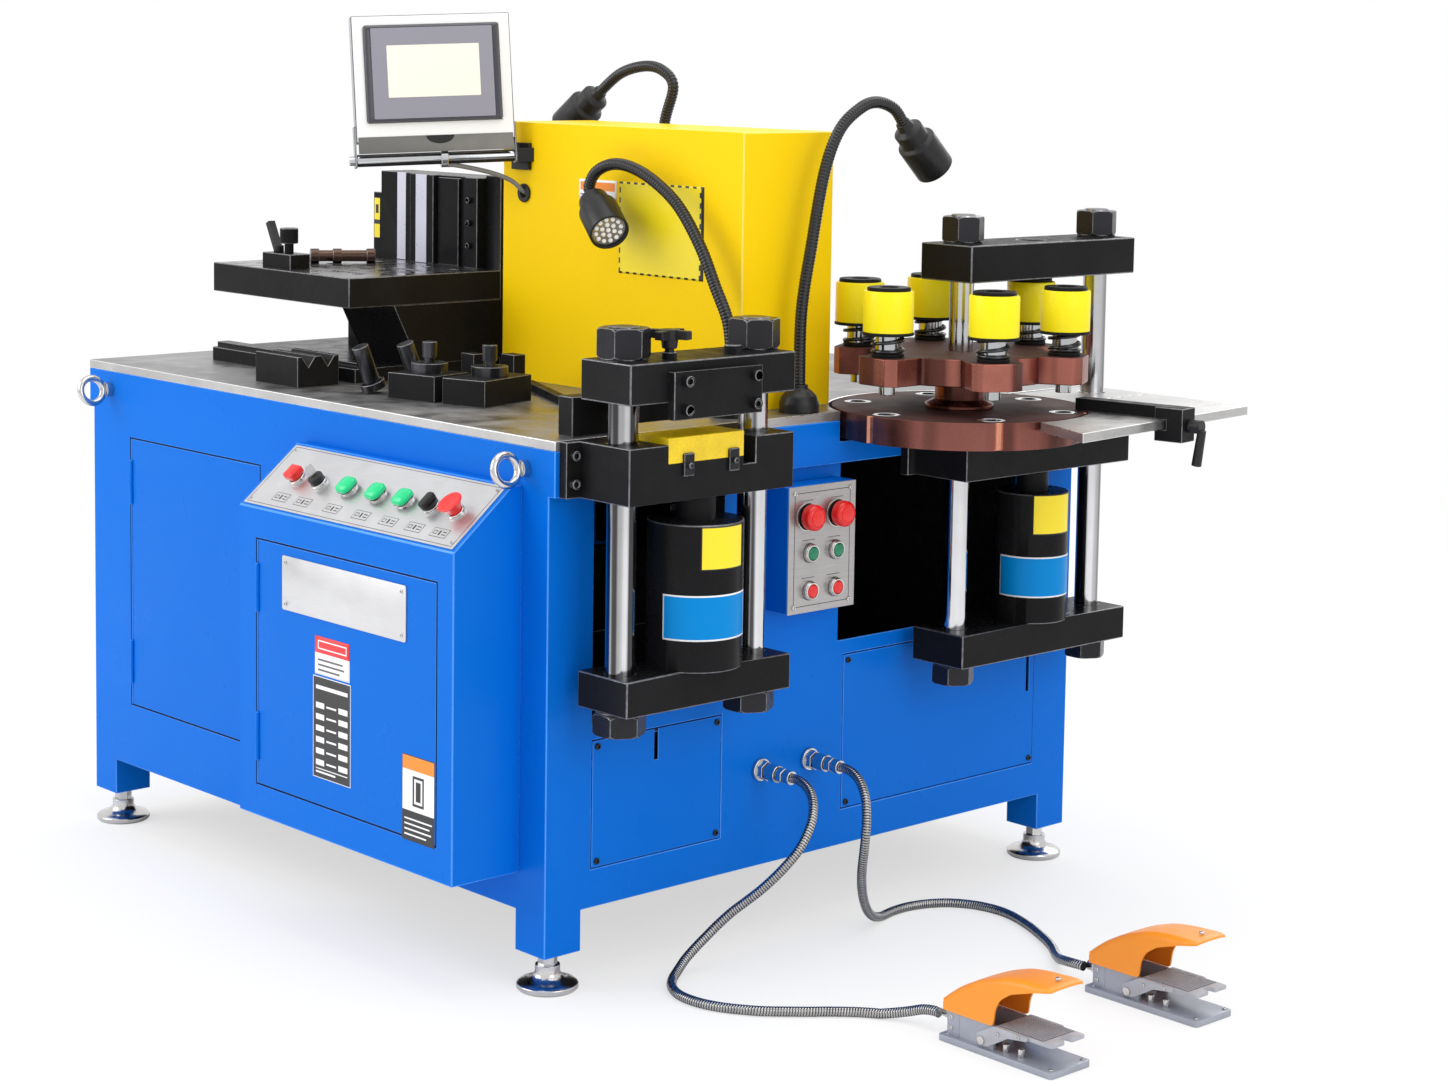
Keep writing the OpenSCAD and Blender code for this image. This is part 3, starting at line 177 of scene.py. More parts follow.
# finishes
finishes = {
    "bluePaint": {"colour": (0.001, 0.146, 0.64), "rough": 0.32, "shine": 0.07, "tone": 0.012, "grain": 420},
    "blueDark": {"colour": (0.001, 0.14, 0.62), "rough": 0.32, "shine": 0.07, "tone": 0.012, "grain": 420},
    # painted highlights: the blue and yellow edge coats are light lines on bevelled edges
    "blueEdgeHighlight": {"colour": (0.05, 0.27, 0.86), "rough": 0.25, "shine": 0.3, "tone": 0.08, "patch": 30,
                 "grain": 420},
    # painted shade: the dark strips in the gaps round the covers and doors
    "seam": {"colour": (0.002, 0.012, 0.06), "rough": 0.5, "shine": 0.05, "tone": 0.1, "grain": 420,
             "depth": 0.01},
    "yellowPaint": {"colour": (0.98, 0.64, 0.004), "rough": 0.38, "shine": 0.08, "tone": 0.03, "grain": 420},
    "yellowEdgeHighlight": {"colour": (0.95, 0.74, 0.12), "rough": 0.3, "shine": 0.3, "tone": 0.05, "patch": 30,
                   "grain": 420},
    "groundSteel": {"colour": (0.5, 0.495, 0.49), "rough": 0.42, "metal": 1.0, "tone": 0.16, "patch": 7,
                    "streak": (60, 1.5, 60), "grain": 14, "depth": 0.03, "scuff": 0.12},
    "tableSteel": {"colour": (0.33, 0.325, 0.33), "rough": 0.44, "metal": 1.0, "tone": 0.25, "patch": 6,
                   "streak": (60, 1.5, 60), "grain": 14, "depth": 0.03, "scuff": 0.14},
    # painted highlight: a light line on the ground steel's bevelled edges
    "steelEdgeHighlight": {"colour": (0.72, 0.72, 0.72), "rough": 0.3, "metal": 1.0, "tone": 0.1, "patch": 30,
                   "grain": 300},
    "chrome": {"colour": (0.55, 0.56, 0.57), "rough": 0.13, "metal": 1.0, "tone": 0.06, "patch": 20,
               "streak": (1, 1, 0.04), "grain": 900, "depth": 0.01, "scuff": 0.05},
    # painted reflections: the column chrome's upright dark streaks
    "columnChrome": {"colour": (0.62, 0.62, 0.64), "rough": 0.12, "metal": 1.0, "tone": 0.06, "patch": 20,
                     "streak": (1, 1, 0.01), "grain": 900, "depth": 0.01, "scuff": 0.05, "reflectionBands": (58, 0.1)},
    "nickel": {"colour": (0.58, 0.57, 0.56), "rough": 0.2, "metal": 1.0, "tone": 0.1, "patch": 30,
               "grain": 700},
    "stainless": {"colour": (0.6, 0.6, 0.61), "rough": 0.34, "metal": 0.85, "tone": 0.06, "patch": 9,
                  "streak": (1, 30, 30), "grain": 28},
    "sidePlate": {"colour": (0.40, 0.385, 0.385), "rough": 0.32, "metal": 0.9, "tone": 0.1, "patch": 7,
                  "streak": (1, 1, 30), "grain": 28},
    "blackOxide": {"colour": (0.011, 0.011, 0.012), "rough": 0.42, "shine": 0.08, "tone": 0.3, "patch": 14,
                   "depth": 0.03, "scuff": 0.1},
    # painted highlight on black steel's bevelled edges, and a darker painted reflection line on the chrome
    # columns
    "paintedEdgeLine": {"colour": (0.16, 0.16, 0.17), "rough": 0.34, "metal": 0.5, "tone": 0.5, "patch": 90,
                 "depth": 0.03},
    "blackGloss": {"colour": (0.010, 0.010, 0.011), "rough": 0.26, "shine": 0.07, "tone": 0.2, "patch": 10,
                   "grain": 300, "depth": 0.01},
    "neckBlack": {"colour": (0.012, 0.012, 0.013), "rough": 0.2, "shine": 0.4, "tone": 0.2, "patch": 30,
                  "grain": 300, "depth": 0.01},
    # painted shade: near-black for the cabinet's inside
    "insideShade": {"colour": (0.02, 0.02, 0.022), "rough": 0.5, "shine": 0.1, "tone": 0.5, "patch": 60,
                   "grain": 160, "depth": 0.5},
    "nutSteel": {"colour": (0.024, 0.024, 0.028), "rough": 0.3, "metal": 0.5, "shine": 0.2, "tone": 0.08,
                 "patch": 10, "depth": 0.01},
    # painted reflections: upright dark streaks in the gunmetal and bronze finishes below
    "gunmetal": {"colour": (0.075, 0.075, 0.085), "rough": 0.32, "metal": 0.8, "tone": 0.25, "patch": 25,
                 "streak": (1, 1, 0.05), "grain": 300, "reflectionBands": (70, 0.25)},
    "bronze": {"colour": (0.36, 0.125, 0.095), "rough": 0.28, "metal": 0.85, "tone": 0.12, "patch": 8,
               "reflectionBands": (26, 0.3)},
    "bronzeDisc": {"colour": (0.24, 0.085, 0.068), "rough": 0.28, "metal": 0.85, "tone": 0.12, "patch": 8,
                   "reflectionBands": (18, 0.45)},
    # painted shade: the turret's darker tops
    "bronzeShadedTop": {"colour": (0.075, 0.034, 0.03), "rough": 0.55, "metal": 0.15, "shine": 0.12, "tone": 0.2,
                  "patch": 8},
    "brightBronze": {"colour": (0.62, 0.27, 0.18), "rough": 0.3, "metal": 0.85, "tone": 0.1, "patch": 20},
    "darkBronze": {"colour": (0.10, 0.06, 0.045), "rough": 0.28, "metal": 0.85, "tone": 0.2, "patch": 20},
    "sleeveYellow": {"colour": (0.95, 0.80, 0.012), "rough": 0.32, "shine": 0.2, "tone": 0.03, "grain": 300,
                     "depth": 0.01},
    "bladeYellow": {"colour": (0.80, 0.56, 0.005), "rough": 0.35, "tone": 0.12, "patch": 25, "grain": 300},
    "springSteel": {"colour": (0.05, 0.05, 0.055), "rough": 0.25, "metal": 0.8, "tone": 0.2, "patch": 40,
                    "grain": 400},
    "conduitSteel": {"colour": (0.42, 0.415, 0.41), "rough": 0.22, "metal": 1.0, "tone": 0.15, "patch": 60},
    # painted shade in the conduit's grooves
    "conduitGrooveShade": {"colour": (0.03, 0.03, 0.033), "rough": 0.4, "metal": 0.8, "tone": 0.2, "patch": 60},
    "greyCable": {"colour": (0.2, 0.2, 0.2), "rough": 0.45, "tone": 0.08, "patch": 60, "grain": 900},
    "blackPlastic": {"colour": (0.013, 0.013, 0.014), "rough": 0.38, "shine": 0.3, "tone": 0.2, "patch": 30,
                     "grain": 700, "depth": 0.04},
    "redPlastic": {"colour": (0.74, 0.014, 0.012), "rough": 0.22, "tone": 0.05, "patch": 60, "depth": 0.01},
    "greenPlastic": {"colour": (0.0, 0.19, 0.085), "rough": 0.18, "tone": 0.06, "patch": 60, "depth": 0.01},
    "brightGreen": {"colour": (0.0, 0.60, 0.22), "rough": 0.2, "tone": 0.05, "patch": 60, "depth": 0.01},
    "whitePaint": {"colour": (0.94, 0.94, 0.93), "rough": 0.4, "shine": 0.2, "tone": 0.015, "grain": 600},
    "casingGrey": {"colour": (0.42, 0.43, 0.46), "rough": 0.38, "metal": 0.4, "tone": 0.06, "grain": 600},
    "edgeGrey": {"colour": (0.09, 0.09, 0.095), "rough": 0.4, "tone": 0.1, "patch": 40, "grain": 600,
                 "depth": 0.01},
    # painted shade: grey for the shaded tray under the screen's front
    "trayShadeGrey": {"colour": (0.16, 0.155, 0.145), "rough": 0.4, "metal": 0.4, "tone": 0.1, "patch": 12,
                  "grain": 600},
    "darkBezel": {"colour": (0.045, 0.045, 0.058), "rough": 0.3, "tone": 0.08, "grain": 600},
    "greyPanel": {"colour": (0.30, 0.295, 0.345), "rough": 0.4, "shine": 0.2, "tone": 0.03, "grain": 900},
    "screenGlass": {"colour": (0.86, 0.83, 0.73), "rough": 0.12, "shine": 0.2, "tone": 0.01, "grain": 900,
                    "depth": 0.0, "glow": 0.1},
    "castGrey": {"colour": (0.34, 0.36, 0.42), "rough": 0.38, "metal": 0.3, "tone": 0.08, "patch": 30,
                 "grain": 420, "depth": 0.06},
    "hoodOrange": {"colour": (0.90, 0.29, 0.012), "rough": 0.38, "tone": 0.04, "patch": 12, "grain": 420,
                   "depth": 0.04},
    "rubberGrey": {"colour": (0.38, 0.39, 0.43), "rough": 0.5, "tone": 0.1, "patch": 40, "grain": 700,
                   "depth": 0.06},
    "treadleDark": {"colour": (0.10, 0.105, 0.12), "rough": 0.5, "tone": 0.1, "patch": 40, "grain": 700,
                    "depth": 0.03},
    "benchTop": {"colour": (0.16, 0.155, 0.165), "rough": 0.24, "metal": 0.9, "tone": 0.3, "patch": 12,
                 "grain": 400, "scuff": 0.12},
    "labelBlue": {"colour": (0.0, 0.23, 0.62), "rough": 0.35, "shine": 0.1, "tone": 0.02, "grain": 900,
                  "depth": 0.01},
    "labelWhite": {"colour": (0.84, 0.84, 0.84), "rough": 0.35, "tone": 0.02, "grain": 900, "depth": 0.01},
    "labelYellow": {"colour": (0.92, 0.73, 0.01), "rough": 0.35, "tone": 0.03, "grain": 900, "depth": 0.01},
    "labelBlack": {"colour": (0.012, 0.012, 0.012), "rough": 0.35, "tone": 0.05, "grain": 900,
                   "depth": 0.01},
    "labelRed": {"colour": (0.75, 0.02, 0.03), "rough": 0.35, "tone": 0.02, "grain": 900, "depth": 0.01},
    "labelOrange": {"colour": (0.9, 0.25, 0.01), "rough": 0.35, "tone": 0.02, "grain": 900, "depth": 0.01},
    "labelGrey": {"colour": (0.10, 0.10, 0.11), "rough": 0.4, "tone": 0.05, "grain": 900, "depth": 0.01},
    "lavender": {"colour": (0.62, 0.62, 0.72), "rough": 0.3, "metal": 0.6, "tone": 0.05, "grain": 600,
                 "depth": 0.01},
    "lampFace": {"colour": (0.35, 0.35, 0.36), "rough": 0.25, "metal": 0.7, "tone": 0.1, "patch": 80,
                 "grain": 900, "depth": 0.01},
    "lampLens": {"colour": (0.9, 0.9, 0.9), "rough": 0.08, "tone": 0.01, "grain": 900, "depth": 0.0,
                 "glow": 0.15},
}
made = {}


# Colour times 1 + tone * (broad + fine noise), roughness + scuff * noise, bump of the depth from fine noise.
# Reflection bands are painted reflections: upright dark streaks, the colour multiplied by a noise drawn out
# along Z.
def finish(name):
    if name in made:
        return made[name]
    f = {"metal": 0.0, "patch": 5, "scuff": 0.06, "streak": (1, 1, 1), "glow": 0.0, "shine": 0.5,
         "reflectionBands": None, "grain": 500, "depth": 0.02, **finishes[name]}
    material = bpy.data.materials.new(name)
    material.use_nodes = True
    tree = material.node_tree
    shader = tree.nodes["Principled BSDF"]
    coords = addNode(tree, "TexCoord")
    stretched = addNode(tree, "Mapping", {"Vector": coords.outputs["Object"], "Scale": f["streak"]})
    broad, fine, smudge = (
        addNode(tree, "TexNoise", {"Vector": vector, "Scale": scale, "Detail": detail})
        for vector, scale, detail in ((coords.outputs["Object"], f["patch"], 4.0),
                                      (stretched.outputs[0], f["grain"], 2.0),
                                      (coords.outputs["Object"], f["patch"] * 3.1, 3.0)))
    both = addNode(tree, "Math", {0: broad.outputs[0], 1: fine.outputs[0]}, operation="ADD")
    spread = addNode(tree, "MapRange", {"Value": both.outputs[0], "From Min": 0.7, "From Max": 1.3})
    base = np.array(f["colour"])
    low, high = (np.clip(base * (1 + s * f["tone"]), 0, 1) for s in (-1, 1))
    tint = addNode(tree, "MixRGB", {"Fac": spread.outputs[0], "Color1": (*low, 1), "Color2": (*high, 1)})
    # painted reflections: upright dark streaks multiplied into the colour
    if f["reflectionBands"]:
        upward = addNode(tree, "Mapping", {"Vector": coords.outputs["Object"], "Scale": (1, 1, 0.004)})
        reflectionStreaks = addNode(tree, "TexNoise", {"Vector": upward.outputs[0], "Scale": f["reflectionBands"][0],
                                           "Detail": 1.0})
        shade = addNode(tree, "MapRange", {"Value": reflectionStreaks.outputs[0], "From Min": 0.40, "From Max": 0.53,
                                           "To Min": f["reflectionBands"][1], "To Max": 1.0})
        tint = addNode(tree, "MixRGB", {"Fac": 1.0, "Color1": tint.outputs[0],
                                        "Color2": shade.outputs[0]}, blend_type="MULTIPLY")
    tree.links.new(tint.outputs[0], shader.inputs["Base Color"])
    roughness = addNode(tree, "MapRange", {
        "Value": smudge.outputs[0], "From Min": 0.3, "From Max": 0.7,
        "To Min": max(0.04, f["rough"] - f["scuff"]), "To Max": f["rough"] + f["scuff"]})
    tree.links.new(roughness.outputs[0], shader.inputs["Roughness"])
    shader.inputs["Metallic"].default_value = f["metal"]
    shader.inputs["Specular IOR Level"].default_value = f["shine"]
    if f["depth"]:
        bump = addNode(tree, "Bump", {"Height": fine.outputs[0], "Strength": f["depth"], "Distance": 0.001})
        tree.links.new(bump.outputs[0], shader.inputs["Normal"])
    if f["glow"]:
        shader.inputs["Emission Color"].default_value = (*f["colour"], 1)
        shader.inputs["Emission Strength"].default_value = f["glow"]
    made[name] = material
    return material


# surfaces: a part is points, quads, caps (outlines closed by one face) and paint (material numbers)
# Quads (i, j), (i, j+1), (i+1, j+1), (i+1, j) of a grid of points; around joins the last j to the first.
def gridPart(points, around=False, capStart=False, capEnd=False, paint=0):
    rows, cols = points.shape[:2]
    index = np.arange(rows * cols).reshape(rows, cols)
    near, far = (index, np.roll(index, -1, 1)) if around else (index[:, :-1], index[:, 1:])
    quads = np.stack([near[:-1], far[:-1], far[1:], near[1:]], -1).reshape(-1, 4)
    caps = ([index[0, ::-1]] if capStart else []) + ([index[-1]] if capEnd else [])
    tones = np.broadcast_to(paint, (len(quads),))
    return {"points": points.reshape(-1, 3).astype(float), "quads": quads, "caps": caps,
            "paint": tones.astype(int), "capPaint": [int(tones[0]), int(tones[-1])][:len(caps)]}


# rotation @ point + shift
def moved(part, rotation=None, shift=(0, 0, 0)):
    points = part["points"] if rotation is None else part["points"] @ np.asarray(rotation).T
    return {**part, "points": points + np.asarray(shift, float)}


# One part from several: each part's indices grow by the points before it.
def joined(parts):
    starts = np.cumsum([0] + [len(p["points"]) for p in parts[:-1]])
    return {"points": np.concatenate([p["points"] for p in parts]),
            "quads": np.concatenate([p["quads"] + s for p, s in zip(parts, starts)]),
            "caps": [c + s for p, s in zip(parts, starts) for c in p["caps"]],
            "paint": np.concatenate([p["paint"] for p in parts]),
            "capPaint": [t for p in parts for t in p["capPaint"]]}


# Each inner corner b becomes (1-t)^2 p + 2t(1-t) b + t^2 q, with p and q the radius before and after it.
def fillet(profile, radius, steps=3):
    p = np.asarray(profile, float)
    b = p[1:-1]
    before, after = p[:-2] - b, p[2:] - b
    lengths = [np.linalg.norm(v, axis=1, keepdims=True) for v in (before, after)]
    start, end = (b + v / n * np.minimum(radius, 0.45 * n) for v, n in zip((before, after), lengths))
    t = np.linspace(0, 1, steps + 1)[:, None, None]
    curve = (1 - t) ** 2 * start + 2 * t * (1 - t) * b + t ** 2 * end
    return np.vstack([p[:1], curve.transpose(1, 0, 2).reshape(-1, p.shape[1]), p[-1:]])


# (r cos a, r sin a, z) for each (r, z) of the profile and each angle a.
def lathePart(profile, sides=48, paint=0):
    r, z = np.asarray(profile, float).T
    angle = np.arange(sides) * 2 * math.pi / sides
    points = np.stack([np.outer(r, np.cos(angle)), np.outer(r, np.sin(angle)),
                       np.repeat(z[:, None], sides, 1)], -1)
    return gridPart(points, around=True, paint=paint)


# A rounded rectangle at each height: x = sx (halfX - radius) + radius cos a, y the same with halfY and sin a.
def roundedPart(halfX, halfY, radius, height, paint=0):
    steps = 5
    halfX, halfY, radius, height = (v[:, None] for v in np.broadcast_arrays(
        *(np.asarray(v, float) for v in (halfX, halfY, radius, height))))
    quarter = np.linspace(0, math.pi / 2, steps + 1)
    angle = (quarter + np.arange(4)[:, None] * math.pi / 2).ravel()
    signX = np.repeat([1, -1, -1, 1], steps + 1)
    signY = np.repeat([1, 1, -1, -1], steps + 1)
    x = signX * (halfX - radius) + radius * np.cos(angle)
    y = signY * (halfY - radius) + radius * np.sin(angle)
    points = np.stack([x, y, np.repeat(height, len(angle), 1)], -1)
    return gridPart(points, around=True, capStart=True, capEnd=True, paint=paint)


# roundedPart from rows of halfX, halfY, radius and height.
def rowsPart(rows, paint=0):
    return roundedPart(*np.array(rows).T, paint=paint)


# A rounded rectangle carried through (inset, height) pairs; its outline shrinks by the inset.
def slabPart(width, depth, radius, profile, paint=0):
    inset, height = np.asarray(profile, float).T
    return roundedPart(width / 2 - inset, depth / 2 - inset, np.maximum(radius - inset, 0.02), height, paint)


# Profile of a slab from low to height with bevelled upper and lower edges.
def edged(height, bevel, low=0.0):
    return [(bevel, low), (0.3 * bevel, low + 0.3 * bevel), (0, low + bevel), (0, height - bevel),
            (0.3 * bevel, height - 0.3 * bevel), (bevel, height)]


# Boxes between rows of low and high corners.
def boxesPart(low, high, paint=0):
    low, high = np.atleast_2d(low).astype(float), np.atleast_2d(high).astype(float)
    pick = np.array([[0, 0, 0], [1, 0, 0], [1, 1, 0], [0, 1, 0], [0, 0, 1], [1, 0, 1], [1, 1, 1], [0, 1, 1]])
    points = low[:, None] * (1 - pick) + high[:, None] * pick
    sides = np.array([[0, 3, 2, 1], [4, 5, 6, 7], [0, 1, 5, 4], [1, 2, 6, 5], [2, 3, 7, 6], [3, 0, 4, 7]])
    quads = (sides[None] + 8 * np.arange(len(low))[:, None, None]).reshape(-1, 4)
    tones = np.repeat(np.broadcast_to(np.asarray(paint), (len(low),)), 6)
    return {"points": points.reshape(-1, 3), "quads": quads, "caps": [], "paint": tones.astype(int),
            "capPaint": []}


# Catmull-Rom curve through the route, then points at an even spacing along it.
def smoothPath(route, spacing):
    p = np.asarray(route, float)
    q = np.vstack([p[:1], p, p[-1:]])
    a, b, c, d = q[:-3], q[1:-2], q[2:-1], q[3:]
    u = np.linspace(0, 1, 60, endpoint=False)[None, :, None]
    a, b, c, d = (v[:, None] for v in (a, b, c, d))
    curve = 0.5 * (2 * b + (c - a) * u + (2 * a - 5 * b + 4 * c - d) * u ** 2
                   + (3 * b - 3 * c + d - a) * u ** 3)
    curve = np.vstack([curve.reshape(-1, 3), p[-1:]])
    along = np.concatenate([[0], np.cumsum(np.linalg.norm(np.diff(curve, axis=0), axis=1))])
    even = np.linspace(0, along[-1], max(2, int(round(along[-1] / spacing))) + 1)
    return np.stack([np.interp(even, along, curve[:, k]) for k in range(3)], 1), even


# path + r (cos a side + sin a other), with side = tangent x reference and other = side x tangent.
def tubePart(path, radius, reference, sides=12, paint=0):
    tangent = np.gradient(path, axis=0)
    tangent /= np.linalg.norm(tangent, axis=1, keepdims=True)
    side = np.cross(tangent, reference)
    side /= np.linalg.norm(side, axis=1, keepdims=True)
    other = np.cross(side, tangent)
    angle = -np.arange(sides) * 2 * math.pi / sides
    r = (np.zeros(len(path)) + radius if np.ndim(radius) < 2 else radius).reshape(len(path), -1, 1)
    points = path[:, None] + r * (np.cos(angle)[None, :, None] * side[:, None]
                                  + np.sin(angle)[None, :, None] * other[:, None])
    return gridPart(points, around=True, capStart=True, capEnd=True, paint=paint)


weldGap = 2e-6  # metres


# Mesh of the parts in metres, welded, with its faces turned outwards.
def makePiece(name, parts, body, slotName, coats, sharp=32, thick=None):
    part = joined(parts if isinstance(parts, (list, tuple)) else [parts])
    mesh = bpy.data.meshes.new(name)
    mesh.from_pydata(place(part["points"]).tolist(), [],
                     part["quads"].tolist() + [c.tolist() for c in part["caps"]])
    mesh.polygons.foreach_set("material_index", np.concatenate(
        [part["paint"], np.array(part["capPaint"], int)]).astype(np.int32))
    for coat in coats:
        mesh.materials.append(finish(coat))
    work = bmesh.new()
    work.from_mesh(mesh)
    bmesh.ops.remove_doubles(work, verts=work.verts, dist=weldGap)
    bmesh.ops.dissolve_degenerate(work, edges=work.edges, dist=1e-7)
    if thick is None:
        bmesh.ops.recalc_face_normals(work, faces=work.faces)
    work.to_mesh(mesh)
    work.free()
    mesh.shade_smooth()
    mesh.set_sharp_from_angle(angle=math.radians(sharp))
    piece = bpy.data.objects.new(name, mesh)
    bpy.context.scene.collection.objects.link(piece)
    if thick is not None:
        shell = piece.modifiers.new("shell", "SOLIDIFY")
        shell.thickness = thick
        shell.offset = 1
    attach(piece, body)
    return piece


# cords: the two pedal conduits, with a spiral rib whose grooves are painted dark as shade, and the screen's
# cable
conduit = {"diameter": 15.2, "pitch": 4.2, "rib": 0.6, "groove": 0.4, "sides": 16, "routes": {
    "conduit_1": [(60, 436, 277), (72, 436, 277), (90, 433, 274), (110, 427, 266), (127, 417, 252),
                  (138, 404, 233), (141, 390, 212), (138, 375, 189), (129, 360, 168), (117, 346, 148),
                  (102, 332, 128), (86, 318, 110), (71, 303, 93), (59, 287, 75), (50, 270, 57),
                  (45, 251, 41), (45, 230, 27), (51, 210, 16), (61, 190, 9), (77, 173, 7), (96, 160, 7),
                  (118, 151, 7), (141, 148, 7), (165, 150, 7), (187, 156, 7), (209, 166, 7),
                  (229, 179, 7), (248, 193, 7), (265, 210, 7), (281, 228, 7), (297, 246, 7),
                  (312, 265, 7), (329, 284, 7), (347, 302, 7), (366, 317, 7), (388, 331, 11),
                  (410, 341, 17), (431, 347, 24), (450, 349, 27), (462, 349, 27)],
    "conduit_2": [(60, 543, 277), (72, 543, 277), (92, 541, 273), (113, 536, 262), (130, 529, 243),
                  (139, 523, 218), (141, 520, 189), (135, 523, 159), (125, 530, 129), (113, 542, 102),
                  (100, 558, 77), (88, 576, 54), (75, 597, 35), (64, 620, 20), (53, 645, 11),
                  (44, 670, 7), (39, 696, 7), (38, 723, 7), (42, 748, 7), (51, 772, 7), (64, 793, 7),
                  (82, 809, 7), (104, 821, 7), (127, 827, 7), (152, 829, 7), (176, 826, 7), (201, 819, 7),
                  (224, 810, 7), (247, 800, 7), (270, 788, 7), (292, 776, 7), (314, 763, 7),
                  (335, 748, 7), (354, 732, 7), (373, 715, 10), (392, 698, 15), (412, 684, 21),
                  (432, 675, 25), (450, 672, 27), (462, 672, 27)]}}
for node, route in conduit["routes"].items():
    route = np.array(route, float) + (0, 0, floorLevel)
    path, along = smoothPath(route, conduit["pitch"] / 6)
    path[:, 2] = np.maximum(path[:, 2], floorLevel + conduit["diameter"] / 2)
    turn = np.arange(conduit["sides"]) / conduit["sides"]
    wave = 0.5 - 0.5 * np.cos(2 * math.pi * (along[:, None] / conduit["pitch"] + turn))
    radius = conduit["diameter"] / 2 - conduit["rib"] * (1 - wave) ** 1.5
    radius[[0, -1]] = conduit["diameter"] / 2
    # painted shade: faces in the rib's grooves take the dark groove coat
    middle = 0.5 * (along[:-1, None] + along[1:, None]) / conduit["pitch"] + turn + 0.5 / conduit["sides"]
    groove = (np.cos(2 * math.pi * middle) > conduit["groove"]).astype(int).ravel()
    hose = makePiece(node + "_hose", tubePart(path, radius, (1, 0, 1), conduit["sides"], groove), "machine",
                     "conduit", ["conduitSteel", "conduitGrooveShade"], sharp=80)
    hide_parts(node)
    place(path[0]).tolist()
    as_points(place(path[:-1:14]).tolist() + [place(path[-1]).tolist()])
screenCable = {"diameter": 8, "route": [(-683, 320, 369), (-676, 332, 369), (-650, 385, 357),
                                        (-634, 418, 343), (-625, 436, 326), (-624, 450, 319)]}
path, along = smoothPath(screenCable["route"], 4)
cable = makePiece("screen_cable", tubePart(path, screenCable["diameter"] / 2, (0, 0, 1), 16), "machine",
                  "cable", ["greyCable"])
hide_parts("hmi_cable")
print("cords made")


# CAD nodes dressed with joined faces, bevelled edges and finishes by place
# True where the two edges run on through the vertex: the cosine of their directions is under -0.8.
def continues(edge, other, vertex):
    one = (edge.other_vert(vertex).co - vertex.co).normalized()
    two = (other.other_vert(vertex).co - vertex.co).normalized()
    return one.dot(two) < -0.8


# Groups of edges that continue each other.
def edgeChains(edges):
    left = set(edges)
    while left:
        chain, stack = [], [left.pop()]
        while stack:
            edge = stack.pop()
            chain.append(edge)
            for vertex in edge.verts:
                for other in vertex.link_edges:
                    if other in left and continues(edge, other, vertex):
                        left.discard(other)
                        stack.append(other)
        yield chain


# Shortest neighbour of the edge that doesn't continue it.
def roomAt(edge):
    return min((other.calc_length() for vertex in edge.verts for other in vertex.link_edges
                if other is not edge and not continues(edge, other, vertex)), default=1.0)


# Edge coats: painted highlights along the bevels, and a darker painted reflection on the chrome columns.
edgeCoats = {"bluePaint": "blueEdgeHighlight", "blueDark": "blueEdgeHighlight", "yellowPaint": "yellowEdgeHighlight",
             "blackOxide": "paintedEdgeLine", "blackGloss": "paintedEdgeLine", "groundSteel": "steelEdgeHighlight",
             "casingGrey": "edgeGrey", "columnChrome": "paintedEdgeLine"}


# The node merged, coplanar faces joined. Convex edges over the angle get a bevel of min(width, 0.4 room),
# with the coat that edgeCoats gives for the node's first one: a painted highlight line, lighter than the
# paint or black steel, a darker painted reflection line on the chrome columns, and dark grey lines on the
# grey casing.
def dressNode(node, coats, body, slotName, width=1.0, choose=None, angle=32):
    edge = edgeCoats.get(coats[0])
    coats = [*coats, edge] if edge else coats
    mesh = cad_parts[node].data.copy()
    mesh.materials.clear()
    work = bmesh.new()
    work.from_mesh(mesh)
    bmesh.ops.remove_doubles(work, verts=work.verts, dist=weldGap)
    bmesh.ops.dissolve_limit(work, angle_limit=math.radians(0.4), verts=work.verts, edges=work.edges)
    weight = work.edges.layers.float.new("bevel_weight_edge")
    corners = [edge for edge in work.edges if len(edge.link_faces) == 2 and edge.is_convex
               and edge.calc_face_angle(0) > math.radians(angle)]
    for chain in edgeChains(corners):
        share = min(1.0, 0.4 * min(map(roomAt, chain)) * 1000 / width)
        for line in chain:
            line[weight] = share if share > 0.2 else 0
    tones = [0] * len(work.faces)
    if choose:
        centre = np.array([face.calc_center_median() for face in work.faces]) * 1000 - corner
        normal = np.array([face.normal for face in work.faces])
        tones = choose(centre, normal).tolist()
    for face, tone in zip(work.faces, tones):
        face.material_index = tone
    work.to_mesh(mesh)
    work.free()
    for coat in coats:
        mesh.materials.append(finish(coat))
    mesh.shade_smooth()
    mesh.set_sharp_from_angle(angle=math.radians(angle))
    piece = bpy.data.objects.new(node + "_dressed", mesh)
    bpy.context.scene.collection.objects.link(piece)
    bevel = piece.modifiers.new("edges", "BEVEL")
    bevel.width = width / 1000
    bevel.segments = 2
    bevel.limit_method = "WEIGHT"
    bevel.use_clamp_overlap = False
    if edge:
        bevel.material = len(coats) - 1
    flatter = piece.modifiers.new("flatter", "WEIGHTED_NORMAL")
    flatter.keep_sharp = True
    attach(piece, body)
    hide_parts(node)
    return piece


# True for the points inside the box.
def within(points, low, high):
    return np.all((points >= np.array(low) - 0.05) & (points <= np.array(high) + 0.05), axis=1)


# Distance from the upright line at x, y.
def fromAxis(points, x, y):
    return np.hypot(points[:, 0] - x, points[:, 1] - y)


